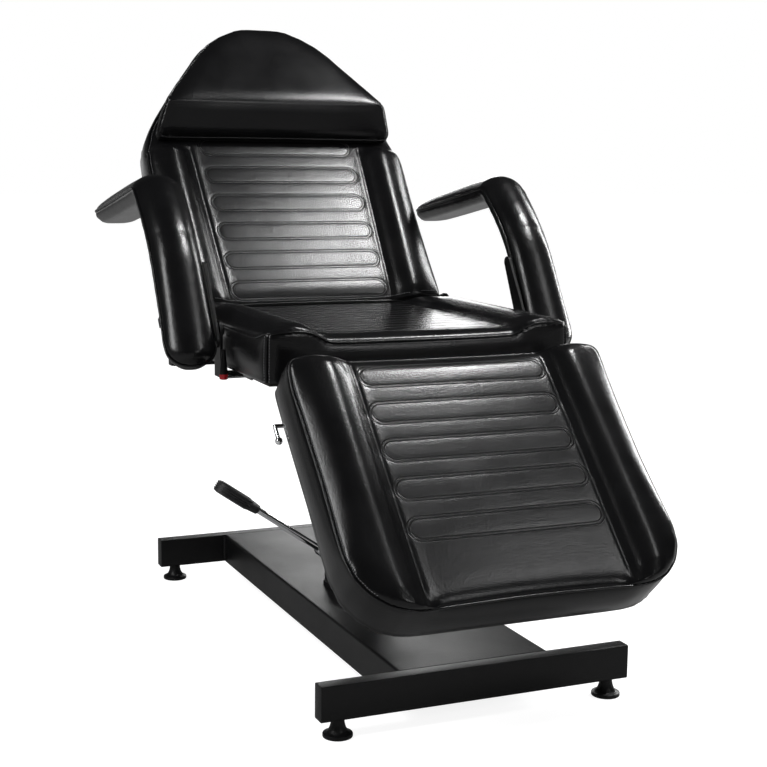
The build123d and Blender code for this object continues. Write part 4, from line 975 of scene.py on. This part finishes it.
seat_leather = leatherette("seat leatherette", SEAT_PLACE, *SEAT_ROWS)
seat = sewn_cover("seat", SEAT_PLACE, 4, SEAT_SWELL, SEAT_ROWS, (-0.280, 0.205), (-0.303, 0.232))
seat_level = end_seam(seat, SEAT_PLACE, SEAT_FRONT, 1, -0.001)
rim_seam(seat, SEAT_PLACE, "seat", seat_leather, (0.0, -0.036), seat_level)
corner_threads = bmesh.new()
for side in (-1, 1):
    surface = tree_of(seat)
    steps = range(CORNER_STEPS + 1)
    heights = [CORNER_TOP - CORNER_DROP * step / CORNER_STEPS for step in steps]
    rays = [((side * 0.40, -0.41, z), (side * 0.20, -0.20, z)) for z in heights]
    corner = on_cover(surface, SEAT_PLACE, rays)
    press_seam(seat, corner)
    piping(f"seat_corner_seam_{side + 1}", corner, RIM_CORD, seat_leather, "seat")
    surface = tree_of(seat)
    for offset in (-CORNER_INSET, CORNER_INSET):
        stitches(corner_threads, corner, offset, surface)
finish_mesh("seat_stitches", corner_threads, thread, "seat")
finish_cover(seat, seat_leather, "seat", "seat_cushion")

# Leg rest cushion
# Made as the seat is, with its two lower corners rounded wide. The cover's face is joined to its
# side wall by a folded seam all round, topstitched on the face.

LEG_PLACE = Matrix.Translation((0, -0.390, 0.599)) @ Matrix.Rotation(radians(45.4), 4, "X")
LEG_ROWS = (-0.046 - 4 * ROW_PITCH, 5)
LEG_SWELL = 0.005
SIDE_FROM = 0.12


def side_runs(line, place, low, high):
    """The parts of a rim along the two sides, between two places along the cushion."""
    back = place.inverted()
    runs = {-1: [], 1: []}
    for spot, normal in line:
        inside = back @ spot
        if low < inside.y < high and abs(inside.x) > SIDE_FROM:
            runs[1 if inside.x > 0 else -1].append((inside.y, spot, normal))
    for side, run in runs.items():
        run.sort(key=lambda item: item[0] * side)
        yield [(spot, normal) for _, spot, normal in run]


def topstitch(piece, place, body, line, low, high):
    """A row of stitches on the face beside the rim's seam, along both sides."""
    rim_threads = bmesh.new()
    surface = tree_of(piece)
    for run in side_runs(line, place, low, high):
        stitches(rim_threads, run, STITCH_INSET, surface)
    finish_mesh(f"{body}_stitches", rim_threads, thread, body)


leg_leather = leatherette("leg rest leatherette", LEG_PLACE, *LEG_ROWS)
leg = sewn_cover("leg", LEG_PLACE, 6, LEG_SWELL, LEG_ROWS, (-0.455, -0.020), (-0.474, -0.004))
leg_level = end_seam(leg, LEG_PLACE, 0.0, -1, 0.004)
leg_rim = rim_seam(leg, LEG_PLACE, "leg", leg_leather, (0.0, -0.242), leg_level)
topstitch(leg, LEG_PLACE, "leg", leg_rim, -0.455, -0.012)
finish_cover(leg, leg_leather, "leg", "leg_cushion")

# Back cushion
# The tallest of the three pads, with the same sewn panel between two side rolls. Its rolls fade
# out under the pillow, above which the cover lies flat to the tapered top.

BACK_PLACE = Matrix.Translation((0, 0.241, 0.616)) @ Matrix.Rotation(radians(52.7), 4, "X")
BACK_ROWS = (0.0435, 6)
BACK_SWELL = 0.0045
BACK_WIDENING = 0.016
SHOULDER_AT = 0.40


def back_level(x, y):
    """The rim seam's height: even beside the panel, and lower round the top."""
    return 0.002 if y < SHOULDER_AT else -0.008


back_leather = leatherette("back leatherette", BACK_PLACE, *BACK_ROWS)
back = sewn_cover(
    "back", BACK_PLACE, 6, BACK_SWELL, BACK_ROWS, (0.020, 0.430), (0.006, 0.425), BACK_WIDENING
)
back_rim = rim_seam(back, BACK_PLACE, "back", back_leather, (0.0, 0.33), back_level)
topstitch(back, BACK_PLACE, "back", back_rim, 0.012, 0.55)
finish_cover(back, back_leather, "back", "back_cushion")

# Pillow
# A headrest pad on the top of the back, glued and stapled to it: a tall lower lip, a ridge, and a
# long face that falls away to the top. A welt runs round the edge of its face.

PILLOW_START = 0.423
PILLOW_RIDGE_AT = 0.478
PILLOW_MIDDLE = (0, 0.54)
PILLOW_TOP = 0.698
PILLOW_VOXEL = 0.005
PILLOW_SWELL = 0.003
PILLOW_LIP = 0.012
WELT_LOW = 0.017
WELT_HIGH = 0.074
WELT_BACK = 0.066
WELT_DEPTH = 0.0012
WELT_RADIUS = 0.0022


def pillow_edge(x, y):
    """The height of the welt over the back's face: low at the lip, highest at the ridge."""
    if y < PILLOW_RIDGE_AT:
        share = max(0.0, y - PILLOW_START) / (PILLOW_RIDGE_AT - PILLOW_START)
        return WELT_LOW + (WELT_HIGH - WELT_LOW) * share
    share = (y - PILLOW_RIDGE_AT) / (PILLOW_TOP - PILLOW_RIDGE_AT)
    return WELT_HIGH - (WELT_HIGH - WELT_BACK) * share


pillow_leather = leatherette("pillow leatherette", crease=18.0)
pillow = cover("pillow_pad", "pillow", BACK_PLACE, PILLOW_VOXEL, 1)
swell(pillow, BACK_PLACE, PILLOW_SWELL)
pillow_rim = rim(
    pillow, BACK_PLACE, PILLOW_MIDDLE, pillow_edge, PILLOW_LIP, above=0.02, inward=0.0, below=0.002
)
press_seam(pillow, pillow_rim, WELT_DEPTH)
piping("pillow_welt", pillow_rim, WELT_RADIUS, pillow_leather, "back", closed=True)
finish_cover(pillow, pillow_leather, "back", "pillow")

# Armrests
# Each is a bent board padded on its outer face, with a flat cover on its inner face, and a welt
# all round where the two meet. It hangs on a pivot at the seat's side.

ARM_MIDDLE = 0.370
ARM_HALF = 0.050
ARM_FOOT = (-0.1276, 0.555)
ARM_BEND = (0.008, 0.781)
ARM_CORNER = (0.111, 0.869)
ARM_TIP = (0.464, 0.806)
ARM_ELBOW = 0.032
ARM_FOOT_CORNER = 0.042
ARM_TIP_CORNER = 0.034
ARM_EASE = 0.075
ARM_WELT = 0.0024
ARM_VOXEL = 0.005
ARM_SWELL = 0.003
ARM_OUTSIDE = 0.2
BEHIND_WELT = 0.0015
END_STEPS = 32
END_FULLNESS = 1.6
BEND_BAND = 0.025
BEND_ROUNDS = 10
ARM_PLACE = Matrix.Rotation(radians(49.6), 4, "X")
BEND_BEFORE = (Vector(ARM_BEND) - Vector(ARM_FOOT)).normalized()
BEND_AFTER = (Vector(ARM_CORNER) - Vector(ARM_BEND)).normalized()
BEND_ALONG = (BEND_BEFORE + BEND_AFTER).normalized()


def bend_run(spots):
    """How far each place is past the arm's long bend."""
    return (spots - np.array(ARM_BEND)) @ np.array(BEND_ALONG)


def arm_ease(spots):
    """How far the arm's long bend leaves the two straight runs that it joins."""
    left = np.maximum(ARM_EASE - np.abs(bend_run(spots)), 0.0)
    lean = BEND_BEFORE.angle(BEND_AFTER) / 2
    depth = sin(lean) / cos(lean) * left ** 2 / (2 * ARM_EASE)
    return depth[:, None] * np.array((BEND_ALONG.y, -BEND_ALONG.x))


def arm_path():
    """The welt's line seen from the side, each place with its direction along the arm."""
    spots = [Vector(p) for p in (ARM_FOOT, ARM_BEND, ARM_CORNER, ARM_TIP)]
    before = (spots[2] - spots[1]).normalized()
    after = (spots[3] - spots[2]).normalized()
    turn = before.angle(after)
    tangent = ARM_ELBOW * sin(turn / 2) / cos(turn / 2)
    first = spots[2] - before * tangent
    last = spots[2] + after * tangent
    centre = first + Vector((before.y, -before.x)) * ARM_ELBOW
    path = []

    def run(a, b, count):
        for step in range(count):
            path.append((a.lerp(b, step / count), (b - a).normalized()))

    run(spots[0], spots[1], 40)
    run(spots[1], first, 14)
    for step in range(8):
        lean = atan2(before.y, before.x) - turn * step / 8
        out = Vector((-sin(lean), cos(lean)))
        path.append((centre + out * ARM_ELBOW, Vector((cos(lean), sin(lean)))))
    run(last, spots[3], 50)
    path.append((spots[3], after))
    shifts = arm_ease(np.array([spot for spot, _ in path]))
    return [(spot + Vector(ease), shift) for (spot, shift), ease in zip(path, shifts)]


def arm_welt(piece, side):
    """The welt's loop: along one side of the arm, round its tip, back, and round its foot."""
    surface = tree_of(piece)
    path = arm_path()

    def hit(spot, out_x, along, across, shift):
        """Where a ray towards a place just behind the welt meets the cover's edge."""
        behind = Vector((shift.y, -shift.x)) * BEHIND_WELT
        centre = spot + behind
        middle = Vector((side * ARM_MIDDLE + across, centre.x, centre.y))
        out = Vector((out_x, along * shift.x, along * shift.y))
        found, normal, _, _ = surface.ray_cast(middle + out * ARM_OUTSIDE, -out)
        return [] if found is None else [(found, normal)]

    foot = [item for item in path if (item[0] - path[0][0]).length > ARM_FOOT_CORNER]
    middle = [item for item in foot if (item[0] - path[-1][0]).length > ARM_TIP_CORNER]
    line = []
    for spot, shift in middle:
        line += hit(spot, 1.0, 0.0, 0.0, shift)
    for ends, radius, sense in ((path[-1], ARM_TIP_CORNER, 1), (path[0], ARM_FOOT_CORNER, -1)):
        spot, shift = ends
        inner = spot - shift * radius * sense
        reach = ARM_HALF - radius
        for step in range(1, END_STEPS):
            angle = pi * step / END_STEPS
            if sense < 0:
                angle = pi - angle
            sideways = cos(angle)
            across = max(-reach, min(reach, reach * sideways * END_FULLNESS))
            line += hit(inner, sideways, sense * sin(angle), across, shift)
        if sense > 0:
            for spot, shift in reversed(middle):
                line += hit(spot, -1.0, 0.0, 0.0, shift)
    return line


arm_leather = leatherette("armrest leatherette", crease=16.0, crease_height=0.0005)
for side_name in ("left", "right"):
    arm = cover(f"arm_pad_{side_name}", f"armrest_{side_name}", ARM_PLACE, ARM_VOXEL, 3)
    swell(arm, ARM_PLACE, ARM_SWELL)
    points = points_of(arm)
    near = np.clip(1.5 - np.abs(bend_run(points[:, 1:])) / BEND_BAND, 0.0, 1.0)
    points[:, 1:] += arm_ease(points[:, 1:])
    set_points(arm, evened(arm, points, BEND_ROUNDS, near))
    side = 1 if side_name == "left" else -1
    line = arm_welt(arm, side)
    press_seam(arm, line, WELT_DEPTH)
    piping(f"arm_welt_{side_name}", line, ARM_WELT, arm_leather, f"arm_{side_name}", closed=True)
    finish_cover(arm, arm_leather, f"arm_{side_name}", f"armrest_{side_name}")

# Studio
# A white floor that runs out to a white backdrop, soft boxes at both sides, in front, behind and
# overhead, a dim ceiling, and the photograph's viewpoint.

FLOOR_SIZE = 60.0
FLOOR_GREY = (0.4, 0.4, 0.4, 1)
FLOOR_LIFT = 0.87
FLOOR_MIRRORED = 0.05
ROOM_LIGHT = 0.35
WALL_LIGHT = 0.8
WALL_TOP = 0.12
CEILING_LIGHT = 0.04
CAMERA_PLACE = (-1.1067, -2.6659, 0.9333)
CAMERA_YAW = 0.411
CAMERA_PITCH = -0.153
CAMERA_ROLL = 0.012
CAMERA_LENS = 69.59

bm = bmesh.new()
bmesh.ops.create_grid(bm, x_segments=2, y_segments=2, size=FLOOR_SIZE / 2)
mesh = bpy.data.meshes.new("floor")
bm.to_mesh(mesh)
bm.free()
floor = placed("floor", mesh)
floor_paint, tree, shader = new_material("white floor")
feed(tree, shader, {"Base Color": FLOOR_GREY, "Roughness": 0.9, "Specular IOR Level": 0.0})
ray = add(tree, "ShaderNodeLightPath").outputs
mirrored = work(tree, "MULTIPLY", ray["Is Glossy Ray"], FLOOR_MIRRORED)
seen = work(tree, "MAXIMUM", ray["Is Camera Ray"], mirrored)
seen = work(tree, "MAXIMUM", seen, ray["Is Transmission Ray"])
glow = add(tree, "ShaderNodeEmission", {"Strength": work(tree, "MULTIPLY", seen, FLOOR_LIFT)})
both = add(tree, "ShaderNodeAddShader", {0: shader.outputs["BSDF"], 1: glow.outputs["Emission"]})
feed(tree, tree.nodes["Material Output"], {"Surface": both.outputs["Shader"]})
mesh.materials.append(floor_paint)

world = bpy.data.worlds.new("room")
bpy.context.scene.world = world
world.use_nodes = True
tree = world.node_tree
ray = add(tree, "ShaderNodeLightPath").outputs
aim = add(tree, "ShaderNodeTexCoord").outputs["Generated"]
height = add(tree, "ShaderNodeSeparateXYZ", {"Vector": aim}).outputs["Z"]
wall = ranged(
    tree, height, WALL_LIGHT, CEILING_LIGHT, 0.0, WALL_TOP, interpolation_type="SMOOTHSTEP"
)
mirrored = mixed(tree, ray["Is Glossy Ray"], ROOM_LIGHT, wall, "FLOAT")
seen = work(tree, "MAXIMUM", ray["Is Camera Ray"], ray["Is Transmission Ray"])
white = mixed(tree, seen, mirrored, 1.0, "FLOAT")
feed(tree, tree.nodes["Background"], {"Color": (1, 1, 1, 1), "Strength": white})


def soft_box(name, place, aim, width, height, power):
    """A lamp behind a rectangular diffuser, turned towards what it lights."""
    light = bpy.data.lights.new(name, "AREA")
    light.shape = "RECTANGLE"
    light.size = width
    light.size_y = height
    light.energy = power
    lamp = placed(name, light)
    lamp.location = place
    lamp.rotation_euler = (Vector(aim) - Vector(place)).to_track_quat("-Z", "Y").to_euler()


soft_box("left box", (-2.3, -0.7, 2.1), (0, 0, 0.6), 0.36, 1.7, 46)
soft_box("right box", (2.5, 0.9, 1.4), (0, 0, 0.6), 0.28, 1.9, 44)
soft_box("top box", (1.2, -0.41, 3.0), (0.2, 0.1, 0.6), 0.4, 0.3, 45)
soft_box("low box", (1.7, -1.85, 3.0), (0.3, -0.6, 0.4), 0.5, 0.5, 9)
soft_box("front box", (1.4, -3.8, 2.4), (0, 0, 0.6), 0.8, 0.5, 16)
soft_box("back box", (1.4, 3.4, 1.25), (0, 0, 0.3), 1.2, 0.7, 15)

camera = placed("camera", bpy.data.cameras.new("camera"))
camera.data.lens = CAMERA_LENS
camera.data.sensor_width = 36.0
camera.matrix_world = (
    Matrix.Translation(CAMERA_PLACE)
    @ Matrix.Rotation(-CAMERA_YAW, 4, "Z")
    @ Matrix.Rotation(pi / 2 + CAMERA_PITCH, 4, "X")
    @ Matrix.Rotation(CAMERA_ROLL, 4, "Z")
)
bpy.context.scene.camera = camera
bpy.context.scene.view_settings.view_transform = "Standard"
